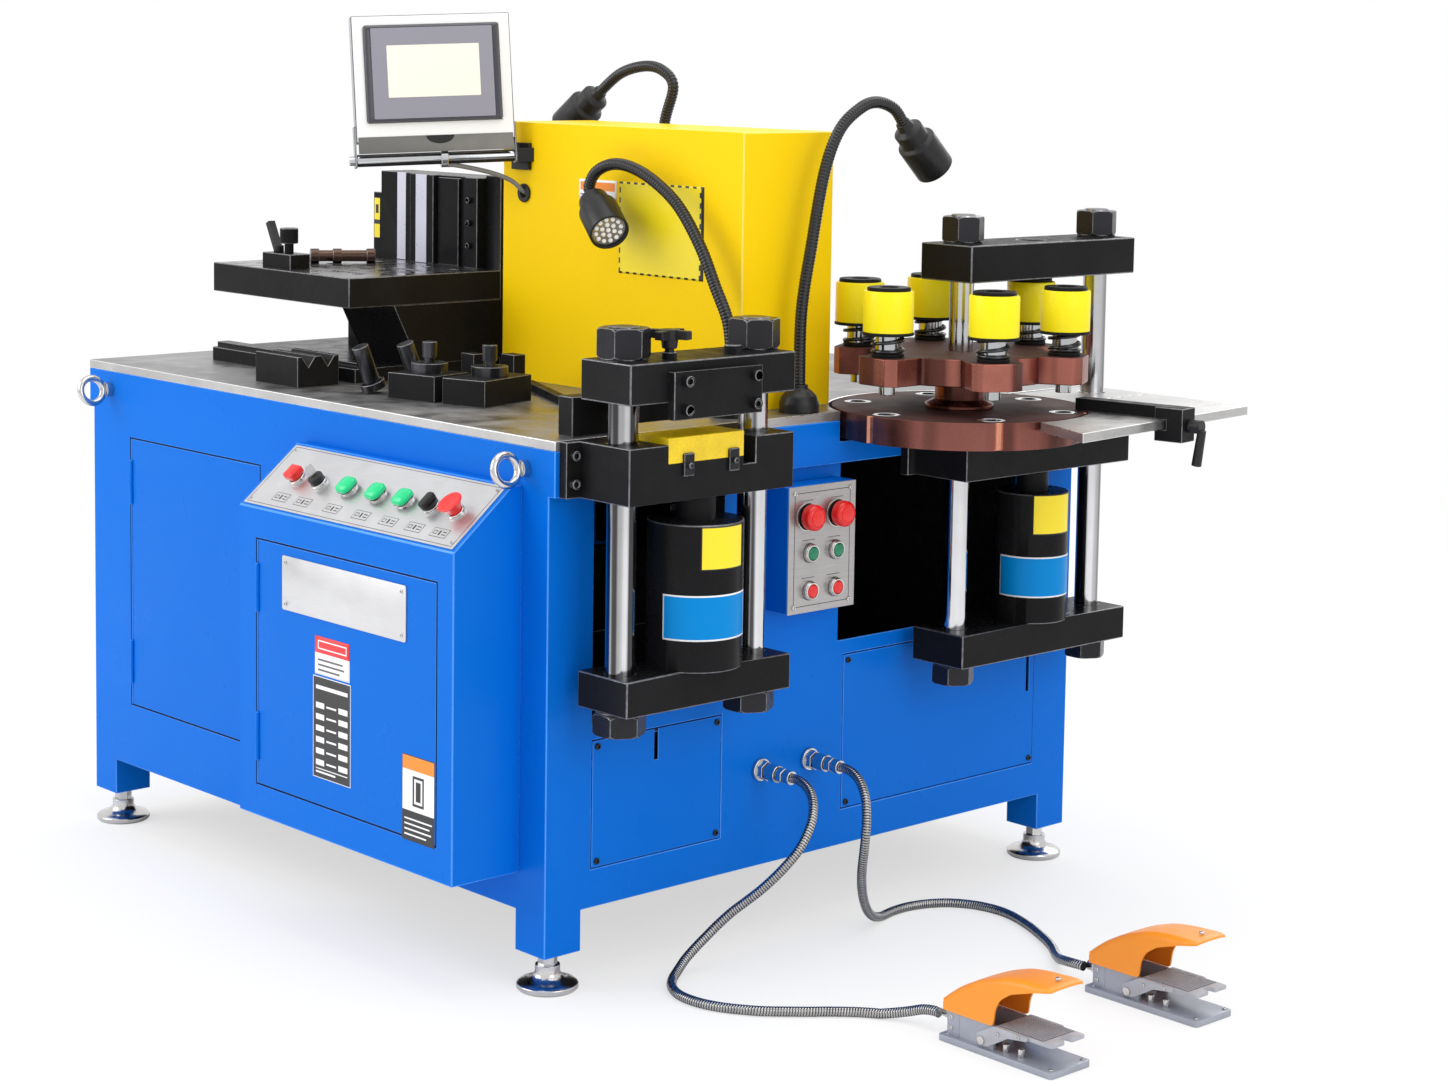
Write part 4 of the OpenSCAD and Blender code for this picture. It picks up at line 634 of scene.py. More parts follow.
pressX = 72.5
turretAxis = np.array([pressX, 788.0, 0.0])
stationRadius = 170
slopeAt = np.array([0, -73, -116.5])  # on the middle line under the desk's sloped plate
slopeUp = np.array([0, 0.77178, 0.63600])
slopeOut = np.array([0, -0.63600, 0.77178])
slopeTurn = np.stack([(1, 0, 0), slopeUp, slopeOut], 1)
sideAt = np.array([34, 516.5, -207])  # middle of the side box's face, under its plate
sideTurn = np.array([[0, 0, 1], [1, 0, 0], [0, 1, 0]])
plateThick = 1.5
stationAngles = np.radians(90 + 60 * np.arange(6))
stationPlaces = turretAxis + stationRadius * np.stack([np.cos(stationAngles), np.sin(stationAngles),
                                                       0 * stationAngles], 1)


# 0 chrome for the columns' round faces, 1 black for their nuts, 2 for the stud tops.
def columnCoats(ys, diameter):
    def choose(c, n):
        near = np.min([fromAxis(c, pressX, y) for y in ys], axis=0)
        tone = np.where(near < diameter / 2 + 0.2, 0, 1)
        return np.where((near < diameter / 2) & (np.abs(n[:, 2]) > 0.9), 2, tone)
    return choose


# 0 bronze sides, 1 tops painted darker as shade, 2 for the seats of the springs.
def starCoats(c, n):
    return np.where(c[:, 2] > 92.05, 2, np.where(n[:, 2] > 0.9, 1, 0))


# 0 bronze, 1 top painted darker as shade, 2 bright rim grooves, 3 steel dies.
def discCoats(c, n):
    angle = np.degrees(np.arctan2(c[:, 1] - turretAxis[1], c[:, 0] - turretAxis[0]))
    off = np.abs((angle - 90 + 30) % 60 - 30)
    reach = fromAxis(c, turretAxis[0], turretAxis[1])
    groove = (off < 2.4) & (reach > 198) & (np.abs(n[:, 2]) < 0.5)
    die = (np.min([fromAxis(c, *p[:2]) for p in stationPlaces], axis=0) < 22.02) & (c[:, 2] > -22.5)
    return np.where(die, 3, np.where(groove, 2, np.where(n[:, 2] > 0.9, 1, 0)))


# 0 black block, 1 steel clips and screws.
def middleCoats(c, n):
    clips = (c[:, 0] > 127.6) & (np.abs(c[:, 1] - 190) < 70) | within(c, (17.1, 0, -80), (30, 30, -1))
    return np.where(clips, 1, 0)


screenTurn = turned((0, 0, 1), 60) @ turned((0, 1, 0), -2.5)
screenAt = np.array([-693.0, 302.0, 381.0])
panelTurn = screenTurn @ turned((1, 0, 0), -6)


# 0 black bracket and grommet, 1 the chrome rod and the ring on it, by the distance from the rod's line.
def armCoats(c, n):
    local = (c - screenAt) @ screenTurn
    far = np.hypot(local[:, 1], local[:, 2])
    rod = (far < 8.3) | (np.abs(local[:, 0] - 14) < 6.2) & (far < 16.3)
    return np.where(rod, 1, 0)


# 0 grey casing, 1 white front, 2 dark bezel.
def panelCoats(c, n):
    local = (c - screenAt) @ panelTurn
    facing = (n @ panelTurn)[:, 1]
    front = (facing < -0.9) & (local[:, 1] < -17.8) & (local[:, 2] > 27.5)
    return np.where(local[:, 1] < -18.2, 2, np.where(front, 1, 0))


# 0 black, 1 the bright end strip of the column behind the bench, 2 screws.
def frameCoats(c, n):
    strip = within(c, (-1114.1, 475.9, 0), (-1090.9, 502.1, 300.1))
    screws = within(c, (-820, 440, 180), (-780, 455.8, 340))
    return np.where(screws, 2, np.where(strip, 1, 0))


# 0 black platform, 1 bronze roller shaft, 2 clamp block, 3 the platform's polished top.
def platformCoats(c, n):
    clamp = within(c, (-1030, 165, 180.05), (-930, 220, 260))
    shaft = (c[:, 2] > 180.05) & ~clamp
    top = (n[:, 2] > 0.9) & (np.abs(c[:, 2] - 180) < 0.05)
    return np.where(clamp, 2, np.where(shaft, 1, np.where(top, 3, 0)))


# 0 black blocks, 1 gunmetal punches and die heads.
def toolingCoats(c, n):
    punches = within(c, (-680, 60, -1), (-560, 240, 100)) | within(c, (-560, 60, 43.1), (-340, 300, 100))
    return np.where(punches, 1, 0)


# 0 stainless slope plate, 1 collars: faces that stand off the plates, 2 the side box's plate.
def plateCoats(c, n):
    side = c[:, 0] > sideAt[0] - 4
    raised = np.where(side, c[:, 0] - sideAt[0], (c - slopeAt) @ slopeOut)
    return np.where(raised > plateThick + 0.06, 1, np.where(side, 2, 0))


# 0 ground plate, 1 the black block under it.
def extensionCoats(c, n):
    return np.where(c[:, 2] < -15.05, 1, 0)


# 0 painted highlight: the table's edge and sides take the brighter ground steel, 1 its top.
def tableTopAndHighlitSides(c, n):
    return np.where(n[:, 2] > 0.9, 1, 0)


# 0 outside and the faces centred on the corner posts, 1 the rest of the inside, painted near-black as shade.
def cabinetCoats(c, n):
    post = (np.abs(c[:, 0] + 660) > 562) & (np.abs(c[:, 1] - 589) > 506) & (np.abs(n[:, 2]) < 0.5)
    return np.where(within(c, (-1303, 2.9, -725), (-16.9, 1175.1, -15.1)) & ~post, 1, 0)


dressed = [
    ("cabinet_frame", ["bluePaint", "insideShade"], "machine", "blue_paint", 1.6, cabinetCoats),
    ("table_top", ["groundSteel", "tableSteel"], "machine", "steel_table", 1.2, tableTopAndHighlitSides),
    ("cover_panels", ["bluePaint", "insideShade"], "machine", "blue_paint", 0.8, cabinetCoats),
    ("levelling_feet", ["nickel"], "machine", "chrome_steel", 0.8, None),
    ("eye_bolts", ["nickel"], "machine", "chrome_steel", 0.8, None),
    ("control_boxes", ["bluePaint"], "machine", "blue_paint", 2.0, None),
    ("control_plates", ["stainless", "nickel", "sidePlate"], "machine", "stainless", 0.5, plateCoats),
    ("power_pack", ["blackGloss"], "machine", "grey_steel", 1.5, None),
    ("electric_cabinet", ["yellowPaint"], "machine", "yellow_paint", 2.0, None),
    ("hmi_arm", ["blackPlastic", "chrome"], "machine", "black_steel", 0.8, armCoats),
    ("hmi_panel", ["casingGrey", "whitePaint", "darkBezel"], "hmi_panel", "white_paint", 2.0, panelCoats),
    ("bending_frame", ["blackGloss", "stainless", "blackOxide"], "machine", "dark_bench", 1.2, frameCoats),
    ("bending_platform", ["blackOxide", "darkBronze", "blackGloss", "benchTop"], "machine", "dark_bench", 1.5,
     platformCoats),
    ("cut_middle_block", ["blackOxide", "nutSteel"], "machine", "black_steel", 1.5, middleCoats),
    ("punch_middle_block", ["blackOxide"], "machine", "black_steel", 1.5, None),
    ("press_pistons", ["blackOxide"], "machine", "chrome_steel", 1.0, None),
    ("extension_table", ["groundSteel", "blackOxide"], "machine", "steel_table", 1.0, extensionCoats),
    ("cable_glands", ["nickel"], "machine", "chrome_steel", 0.8, None),
    ("loose_tooling", ["blackOxide", "gunmetal"], "machine", "grey_steel", 1.0, toolingCoats),
    ("cabinet_door", ["blueDark"], "cabinet_door", "blue_door", 1.2, None),
    ("desk_door", ["blueDark"], "desk_door", "blue_door", 1.2, None),
    ("cut_top_block", ["blackOxide"], "cut_frame", "black_steel", 2.0, None),
    ("cut_cylinder", ["blackGloss"], "cut_frame", "dark_bench", 2.0, None),
    ("cut_columns", ["columnChrome", "nutSteel", "gunmetal"], "cut_frame", "chrome_steel", 1.2,
     columnCoats((67, 327), 45)),
    ("cut_blade_holder", ["blackOxide"], "cut_frame", "black_steel", 1.2, None),
    ("cut_knob", ["blackPlastic"], "cut_knob", "black_plastic", 2.0, None),
    ("punch_top_block", ["blackOxide"], "punch_frame", "black_steel", 2.0, None),
    ("punch_cylinder", ["blackGloss"], "punch_frame", "dark_bench", 2.0, None),
    ("punch_columns", ["columnChrome", "nutSteel", "gunmetal"], "punch_frame", "chrome_steel", 1.2,
     columnCoats((788, 1121), 40)),
    ("turret_star", ["bronze", "bronzeShadedTop", "blackOxide"], "turret", "bronze", 1.5, starCoats),
    ("turret_disc", ["bronzeDisc", "bronzeShadedTop", "brightBronze", "chrome"], "turret", "bronze", 1.2,
     discCoats),
    ("fence_bar", ["blackOxide"], "fence", "black_steel", 1.2, None),
    ("fence_lever", ["blackPlastic"], "fence_lever", "black_plastic", 1.0, None),
    ("clamp_lever", ["blackPlastic"], "clamp_lever", "black_plastic", 1.0, None),
]
for node, coats, body, slotName, width, choose in dressed:
    dressNode(node, coats, body, slotName, width, choose)
carrier = rowsPart([(32.9, 74.1, 1, -28), (33.7, 74.9, 1.4, -27.2), (33.7, 74.9, 1.4, 9.6),
                    (32.9, 74.1, 1, 10.4)])
carrier = moved(carrier, shift=(94.2, 182.5, 0))
makePiece("blade_carrier", [carrier], "machine", "yellow_paint", ["bladeYellow"])
print("nodes dressed")

# control devices: chrome collars on the plates, caps with their plungers
device = {
    "slope": [(x, *slopeAt[1:]) for x in (-550, -490, -410, -334, -264, -198, -136)],
    "side": [(sideAt[0], sideAt[1] + y, z) for y, z in
             ((-33, -155), (33, -155), (-28, -213), (28, -213), (-28, -273), (28, -273))],
    "plunger": [(0, -22), (10.3, -22), (10.3, 6), (0, 6)],
    "lowCollar": [(10.9, 1.2), (10.9, 6.4), (11.4, 6.7), (12.8, 6.7), (13.5, 6.1), (13.7, 4.9), (14.9, 4.6),
                  (15.2, 4.0), (15.2, 1.2), (10.9, 1.2)],
    "highCollar": [(10.7, 1.2), (10.7, 10.6), (11.4, 11.6), (13.2, 11.8), (13.9, 11.0), (13.9, 9.6),
                   (14.6, 9.2), (14.9, 8.4), (14.9, 5.4), (14.2, 5.1), (14.2, 4.3), (15.6, 4.0), (15.8, 3.4),
                   (15.8, 1.2), (10.7, 1.2)],
    "wideCollar": [(10.7, 1.2), (10.7, 6.8), (13.2, 6.9), (13.4, 4.8), (15, 4.7), (15, 3.6), (21.4, 3.5),
                   (21.6, 2.9), (22.6, 2.7), (22.9, 1.2), (10.7, 1.2)],
    "sideMushroom": [(0, 14), (18.4, 14), (18.4, 8.2), (19.6, 8.0), (20.4, 8.6), (20.7, 10), (20.5, 20.6),
                     (19.8, 22.2), (17.0, 24.8), (15.2, 25.9), (14.2, 26.1), (13.8, 25.2), (13.2, 25.2),
                     (12.8, 26.0), (12, 26.3), (0, 26.5)],
    "flushCap": [(0, -22), (10.3, -22), (10.3, 11.2), (9.9, 12.0), (8.4, 12.9), (5, 13.6), (0, 13.9)],
    "stop": [(0, 5), (10.3, 5), (10.3, 11.4), (12.6, 11.7), (13.4, 12.8), (14.4, 16), (17.4, 20.4),
             (19.7, 22.6), (20.3, 24), (19.8, 25.4), (18.4, 26), (14, 25.6), (6, 25.2), (0, 25.2)],
    "greenCap": [(0.4, 0.4, 0.4, 12), (13.6, 13.6, 13.6, 12), (13.6, 13.6, 13.6, 7.6), (15.2, 15.2, 9.4, 7.6),
                 (15.7, 15.7, 9.8, 8.1), (15.7, 15.7, 9.8, 9.6), (15.9, 15.9, 10, 10), (15.8, 15.8, 10, 13.6),
                 (14.8, 14.8, 9.4, 16), (12.8, 12.8, 8.4, 17.3), (11.9, 11.9, 8, 17.3), (10.6, 10.6, 7, 18.1),
                 (5, 5, 3, 18.7), (0.4, 0.4, 0.4, 18.8)],
    "redCap": [(10.3, 10.3, 10.3, 5), (10.3, 10.3, 10.3, 10), (12.2, 12.2, 3, 10.2), (12.8, 12.8, 3.4, 11),
               (12.8, 12.8, 3.4, 19.6), (11.6, 11.6, 3, 21.4), (9, 9, 2, 22), (0.4, 0.4, 0.4, 22.2)],
    "barrel": [(0, 5), (10.3, 5), (10.3, 7.2), (12.3, 7.3), (12.7, 8.2), (12.7, 16.4), (11.8, 17.4),
               (6.2, 17.6), (5.8, 16.8), (0, 16.8)],
    "knobBase": [(0, 5), (10.3, 5), (10.3, 7.2), (13.6, 7.3), (14.3, 8.2), (14.3, 11.4), (13.2, 12.6),
                 (0, 12.8)],
    "handle": [(6.6, 13.6, 4.2, 12), (7.6, 14.6, 5, 12.8), (7.6, 14.8, 5, 19.4), (6.4, 13.6, 4.4, 21.4),
               (3.6, 11, 3, 22), (0.4, 8, 0.4, 22.1)]}


# Piece at the place, its own Z along the turn's third column.
def devicePiece(name, parts, at, turn, body, slotName, coats):
    return makePiece(name, [moved(part, turn, at) for part in parts], body, slotName, coats, sharp=40)


collars = [moved(lathePart(device["lowCollar"], 36), slopeTurn, device["slope"][k]) for k in (0, 1, 5, 6)]
for k, at in enumerate(device["side"], 1):
    outline = np.array(device["wideCollar" if k < 3 else "highCollar"])
    ring = lathePart(outline, 48)
    step = np.arange(len(outline) - 1)
    level = outline[:-1, 1]
    dark = (step >= 4) & (step <= 6) if k < 3 else (level > 4.2) & (level < 5.3)
    ring["paint"] = np.repeat(dark.astype(int), 48)
    collars.append(moved(ring, sideTurn, at))
makePiece("device_collars", collars, "machine", "chrome_steel", ["nickel", "blackPlastic"], sharp=40)
caps = {"red_button": ([rowsPart(device["redCap"])], 0, "redPlastic", "red_plastic"),
        "stop_mushroom": ([lathePart(device["stop"], 48)], 6, "redPlastic", "red_plastic"),
        "selector_knob": ([lathePart(device["knobBase"], 40), rowsPart(device["handle"])], 5,
                          "blackPlastic", "black_plastic")}
for k in (1, 2, 3):
    rows = np.array(device["greenCap"])
    cap = rowsPart(rows)
    steps = len(rows) - 1
    underside = (rows[:-1, 3] < 9) | (np.arange(steps) < 2)
    cap["paint"] = np.repeat(underside.astype(int), len(cap["paint"]) // steps)
    caps[f"green_button_{k}"] = ([cap], 1 + k, "brightGreen", "green_plastic")
for name, (parts, spot, coat, slotName) in caps.items():
    piece = devicePiece(name + "_cap", [lathePart(device["plunger"], 32), *parts], device["slope"][spot],
                        slopeTurn, name, slotName, [coat, "blackPlastic"])
    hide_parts(name)
bow = rowsPart([(9.2, 7.2, 3, -1.1), (9.5, 7.5, 3.2, -0.8), (9.5, 7.5, 3.2, 0.8), (9.2, 7.2, 3, 1.1)], 1)
key = [lathePart(device["plunger"], 32), lathePart(device["barrel"], 40), moved(bow, alongX, (0, 0, 31)),
       boxesPart((-1, -4, 16), (1, 4, 24), 1)]
piece = devicePiece("key_and_barrel", key, device["slope"][1], slopeTurn, "key_switch", "chrome_steel",
                    ["blackPlastic", "nickel"])
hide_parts("key_switch")
for k, at in enumerate(device["side"], 1):
    colour = "green" if k in (3, 4) else "red"
    parts = [lathePart(device["plunger"], 32), lathePart(device["sideMushroom"], 56)] if k < 3 else \
        [lathePart(device["flushCap"], 40)]
    piece = devicePiece(f"box_button_{k}_cap", parts, at, sideTurn, f"box_button_{k}",
                        colour + "_plastic", [colour + "Plastic"])
    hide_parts(f"box_button_{k}")
print("control devices made")

# punches: sleeve over a guide spring, ram and round tip
punch = {"outline": [(0, 32), (12.3, 32), (13, 32.8), (13, 46), (20, 50), (20, 184.6), (33, 184.6),
                     (33, 127.3), (33.5, 127), (40.4, 127), (41.1, 127.8), (41.1, 130.2), (40.2, 131.8),
                     (39.6, 132), (39.9, 133.4), (39.9, 194.6), (38.9, 196.8), (35.2, 197.3),
                     (34.4, 198), (34.4, 201.6), (33, 203), (16.5, 203), (15.6, 202.2), (15.6, 200.6),
                     (7, 200.6), (7, 196), (0, 196)],
         "tones": [0] * 8 + [2] * 5 + [1] * 4 + [2] * 9, "sides": 56}
spring = {"radius": 24.3, "wire": 2.9, "low": 101.2, "high": 181.5, "turns": 6.5, "foot": 98.1, "keep": 0.605}
turns = np.linspace(0, spring["turns"], int(spring["turns"] * 30) + 1)
rise = np.clip((turns - 0.75) / (spring["turns"] - 1.5), 0, 1)
wound = 2 * math.pi * turns
coil = np.stack([spring["radius"] * np.cos(wound), spring["radius"] * np.sin(wound),
                 spring["low"] + (spring["high"] - spring["low"]) * rise], 1)
for k, (centre, angle) in enumerate(zip(stationPlaces, stationAngles), 1):
    head = lathePart(punch["outline"], punch["sides"])
    head["paint"] = np.repeat(punch["tones"], punch["sides"])
    piece = makePiece(f"punch_{k}_head", moved(head, turned((0, 0, 1), math.degrees(angle)), centre),
                      f"punch_{k}", "yellow_head", ["chrome", "sleeveYellow", "blackOxide"])
    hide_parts(f"punch_{k}")
    wire = moved(tubePart(coil, spring["wire"], (0, 0, 1), 10),
                 turned((0, 0, 1), math.degrees(angle) + 40 * k), centre)
    piece = makePiece(f"punch_{k}_spring", wire, "turret", "black_steel", ["springSteel"])
    place(centre + (0, 0, spring["foot"])).tolist()
    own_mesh(piece)
print("punches made")

# task lamps: magnetic foot, ribbed neck, two-step head with a plate of small lights
lamps = {
    "lamp_1": {"foot": ((-57, 400, 0), (0, 0, 1)), "aim": (0.8, -0.3, -0.51), "reference": (0, 1, 0),
               "route": [(-57, 400, 43), (-57, 400, 100), (-66, 400, 150), (-95, 400, 200), (-132, 400, 262),
                         (-185, 400, 323), (-244, 400, 360), (-300, 400, 380), (-348, 400, 383),
                         (-388, 400, 369), (-404, 399, 345), (-396, 397, 328)]},
    "lamp_2": {"foot": ((-34, 528, 0), (0, 0, 1)), "aim": (0, 0.72, -0.69), "reference": (1, 0, 0),
               "route": [(-34, 528, 43), (-32, 528, 160), (-30, 547, 272), (-30, 572, 382), (-30, 604, 447),
                         (-30, 649, 481), (-30, 687, 491), (-30, 728, 480), (-30, 752, 454)]},
    "lamp_3": {"foot": ((-575, 638, 300), (0, 1, 0)), "aim": (-0.8, -0.05, -0.6), "reference": (1, 1, 0),
               "route": [(-575, 681, 300), (-574, 697, 306), (-566, 700, 340), (-560, 700, 438),
                         (-538, 700, 505), (-566, 700, 533), (-614, 700, 540), (-679, 700, 526),
                         (-738, 700, 490)]}}
neck = {"radius": 9.9, "rib": 0.9, "pitch": 5.5, "sides": 20}
headOutline = fillet([(0, -6), (12, -6), (14, 6), (25, 12), (25, 36), (33, 40), (33, 104), (29, 104),
                      (29, 97), (0, 96)], 1.6)
footOutline = fillet([(0, 0), (32, 0), (32, 14), (28, 26), (20, 34), (14, 38), (14, 44), (0, 44)], 2)
bulb = fillet([(0, 100.4), (2.2, 100.2), (3.6, 98.6), (3.9, 96.4), (0, 96.2)], 0.6, 2)
spots = [(0, 0)] + [(reach * math.cos(t), reach * math.sin(t)) for reach, count in ((11, 6), (21.5, 12))
                    for t in np.linspace(0, 2 * math.pi, count + 1)[:-1]]
pieces = []
for name, lamp in lamps.items():
    path, along = smoothPath(lamp["route"], neck["pitch"] / 5)
    radius = neck["radius"] - neck["rib"] * (0.5 + 0.5 * np.cos(2 * math.pi * along / neck["pitch"])) ** 2
    pieces.append(tubePart(path, radius, lamp["reference"], neck["sides"]))
    aim = toward(lamp["aim"])
    housing = lathePart(headOutline, 48)
    face = (np.abs((headOutline[:-1, 1] + headOutline[1:, 1]) / 2 - 96.6) < 0.7) \
        & (headOutline[1:, 0] < 28.5)
    housing["paint"] = np.repeat(1 + face.astype(int), 48)
    pieces.append(moved(housing, aim, path[-1]))
    pieces += [moved(lathePart(bulb, 12, paint=3), aim, path[-1] + aim @ np.array([x, y, 0]))
               for x, y in spots]
    pieces.append(moved(lathePart(footOutline, 40, paint=1), toward(lamp["foot"][1]), lamp["foot"][0]))
piece = makePiece("lamps_detailed", pieces, "machine", "lamp_black",
                  ["neckBlack", "blackPlastic", "lampFace", "lampLens"])
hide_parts("task_lamps")
print("lamps made")


# foot pedals: cast base, hollow hood, studded treadles
# The outline through (inset, height) pairs: p + inset (n1 + n2) / (1 + n1 . n2), n its inward normals.
def prismPart(outline, profile, paint=0):
    p = np.asarray(outline, float)
    ahead = np.roll(p, -1, 0) - p
    ahead /= np.linalg.norm(ahead, axis=1, keepdims=True)
    turnSign = np.sign(np.sum(np.roll(p, 1, 0)[:, 0] * p[:, 1] - np.roll(p, 1, 0)[:, 1] * p[:, 0]))
    inward = turnSign * np.stack([-ahead[:, 1], ahead[:, 0]], 1)
    before = np.roll(inward, 1, 0)
    miter = (inward + before) / (1 + np.sum(inward * before, axis=1, keepdims=True))
    points = [np.column_stack([p + inset * miter, np.full(len(p), height)]) for inset, height in profile]
    return gridPart(np.array(points), around=True, capStart=True, capEnd=True, paint=paint)


# fillet of a closed outline: it starts and ends in the middle of the first side.
def closedFillet(outline, radius, steps=4):
    p = np.asarray(outline, float)
    middle = (p[:1] + p[1:2]) / 2
    return fillet(np.vstack([middle, p[1:], p[:1], middle]), radius, steps)[:-1]


upright = np.array([[1, 0, 0], [0, 0, -1], [0, 1, 0]])  # takes an (x, y) outline to x, z
screwOutline = [(0, 0.9), (1.9, 0.9), (2.1, 2.6), (3.3, 2.6), (4, 1.9), (4, 0)]


# A screw's head: the screw's outline turned round the direction.
def screwPart(at, direction, size=1.0, paint=0):
    return moved(lathePart(np.array(screwOutline) * size, 14, paint), toward(direction), at)


hood = {"top": [(6, 64), (32, 84), (70, 104), (112, 118), (150, 123), (200, 124), (203, 122)],
        "low": [(6, 46), (101, 46), (104, 70), (112, 86), (132, 100), (176, 114), (203, 119)],
        "half": 39, "round": 9, "wall": 3.2, "crown": 1.6}
along = np.unique(np.concatenate([np.linspace(6, 203, 46), np.linspace(99, 114, 16)]))
topLine, lowLine = (np.interp(along, *fillet(hood[key], radius, 6).T)
                    for key, radius in (("top", 15), ("low", 6)))


# Sections: up the side at y = half, round the shoulder with cos and sin of f, over the crown and down.
def hoodSection(inset):
    slant = np.sqrt(1 + np.gradient(topLine, along) ** 2)
    top = topLine - inset * slant
    depth = np.maximum(top - lowLine, 0.3)
    roundness = np.minimum(hood["round"] - inset, 0.8 * depth)
    tip = np.clip((along - 176) / 27, 0, 1)
    half = hood["half"] - inset - 5 * tip ** 3
    f = np.linspace(0, math.pi / 2, 7)[:, None]
    side = np.linspace(0, 1, 6)[:-1, None]
    z = np.concatenate([top - depth + (depth - roundness) * side, top - roundness * (1 - np.sin(f)),
                        np.repeat(top[None], 5, 0)])
    y = np.concatenate([np.repeat(half[None], 5, 0), half - roundness * (1 - np.cos(f)),
                        np.linspace(0.9, 0, 5)[:, None] * (half - roundness)])
    z = z + hood["crown"] * (1 - (y / hood["half"]) ** 2) * (np.arange(len(z))[:, None] > 10)
    one = np.stack([np.repeat(along[None], len(z), 0), -y, z], -1).transpose(1, 0, 2)
    other = (one * (1, -1, 1))[:, -2::-1]
    return np.concatenate([one, other], 1)


hoodGrid = np.concatenate([hoodSection(0), hoodSection(hood["wall"])[:, ::-1]], 1)
baseOutline = closedFillet([(0, -43), (214, -43), (214, 43), (0, 43)], 7)
treadleOutline = closedFillet([(104, -36), (208, -36), (208, -7), (197, -7), (192, 0), (197, 7), (208, 7),
                               (208, 36), (104, 36)], 4)
armOutline = closedFillet([(72, 14), (92, 14), (130, 36), (166, 41), (166, 47), (104, 47), (72, 30)], 3)
for k, pedalY in enumerate((363, 686), 1):
    at = np.array([486, pedalY, floorLevel])
    base = [prismPart(baseOutline, edged(10, 1.2)),
            moved(slabPart(30, 71, 7, edged(46, 1.5, 9)), shift=(23, 0, 0)),
            boxesPart([(36, -35.4, 9.5), (36, 30, 9.5), (60, -12, 9.5)],
                      [(100, -30, 46), (100, 35.4, 46), (96, 12, 15)]),
            moved(lathePart(fillet([(0, -42.5), (6.5, -42.5), (6.5, 42.5), (0, 42.5)], 1), 24, 1),
                  turned((1, 0, 0), 90), (81, 0, 21)),
            moved(lathePart([(0, 0), (8.4, 0), (8.5, 0.4), (8.5, 33), (0, 33)], 28, 1), alongX, (-24, 0, 27)),
            moved(lathePart([(0, 12), (11.6, 12), (12.6, 13), (12.6, 23), (11.6, 24), (0, 24)], 6, 1), alongX,
                  (-24, 0, 27))]
    base += [moved(lathePart(fillet([(0, 9), (5, 9), (5, 22), (0, 24)], 1), 18, 1), shift=(x, -26, 0))
             for x in (116, 144)]
    base += [screwPart((x, side * 35.3, z), (0, side, 0), 0.8, 1) for side in (-1, 1) for x, z in
             ((20, 22), (20, 38), (92, 38))]
    base += [screwPart((x, y, 9.9), (0, 0, 1), 0.9, 1) for x in (206, 12) for y in (-34, 34)]
    piece = makePiece(f"pedal_{k}_base", moved(joined(base), shift=at), "machine", "grey_cast",
                      ["castGrey", "nickel"])
    if k == 1:
        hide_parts("foot_pedals")
    shell = [gridPart(hoodGrid, around=True, capStart=True, capEnd=True),
             boxesPart((6.2, -38.6, 46), (9, 38.6, 63)), screwPart((186, 0, 127.6), (0, 0, 1), 1.0, 1)]
    makePiece(f"pedal_{k}_hood", moved(joined(shell), shift=at), "machine", "grey_cast",
              ["hoodOrange", "nickel"], sharp=50)
    studs = np.stack(np.meshgrid(np.arange(108, 189, 4.6), np.arange(-32, 30, 4.6)), -1).reshape(-1, 2)
    low = np.column_stack([studs, np.full(len(studs), 46.6)])
    plate = [prismPart(treadleOutline, edged(47, 1.0, 41)), boxesPart(low, low + (2.9, 2.9, 1.7)),
             boxesPart((106.5, -33.5, 46), (190, 33.5, 47.3), 2), boxesPart([(70, -40, 15)], [(76, 40, 19)])]
    plate += [moved(prismPart(armOutline, edged(4, 0.5)), upright, (0, y, 0)) for y in (-36, 40)]
    plate += [screwPart((x, side * 40, z), (0, side, 0), 0.8, 1) for side in (-1, 1)
              for x, z in ((112, 38), (150, 43))]
    piece = makePiece(f"treadle_{k}_plate", moved(joined(plate), shift=at), f"treadle_{k}", "grey_steel",
                      ["rubberGrey", "nickel", "treadleDark"])
    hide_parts(f"treadle_{k}")
print("pedals made")


# labels and plates: left without words or signs
# A grid whose lines are all edges of the (u0, v0, u1, v1, paint) fields; a cell takes the last field over it.
def labelPart(rects, spacing=None):
    r = np.array(rects, float)
    u, v = (np.unique(np.round(np.concatenate([r[:, k], r[:, k + 2]]), 4)) for k in (0, 1))
    if spacing:
        u = np.unique(np.concatenate([u, np.arange(u[0], u[-1], spacing)]))
    midU, midV = (u[1:] + u[:-1]) / 2, (v[1:] + v[:-1]) / 2
    inside = ((midU[None, None] > r[:, 0, None, None]) & (midU[None, None] < r[:, 2, None, None])
              & (midV[None, :, None] > r[:, 1, None, None]) & (midV[None, :, None] < r[:, 3, None, None]))
    last = len(r) - 1 - np.argmax(inside[::-1], axis=0)
    flatGrid = np.stack([*np.meshgrid(u, v), np.zeros((len(v), len(u)))], -1)
    return gridPart(flatGrid, paint=r[last, 4].astype(int).ravel())


# The label at origin + u across + v upward, lifted by its thickness.
def flatLabel(name, rects, origin, across, upward, body, slotName, coats, thick=0.4):
    across, upward = np.array(across, float), np.array(upward, float)
    normal = np.cross(across, upward)
    part = moved(labelPart(rects), np.stack([across, upward, normal], 1),
                 np.array(origin, float) + normal * thick)
    return labelPiece(name, part, body, slotName, coats, thick)


# A label's piece: its thickness goes inwards from the lifted face.
def labelPiece(name, part, body, slotName, coats, thick):
    piece = makePiece(name, part, body, slotName, coats, thick=thick / 1000)
    piece.modifiers["shell"].offset = -1
    return piece


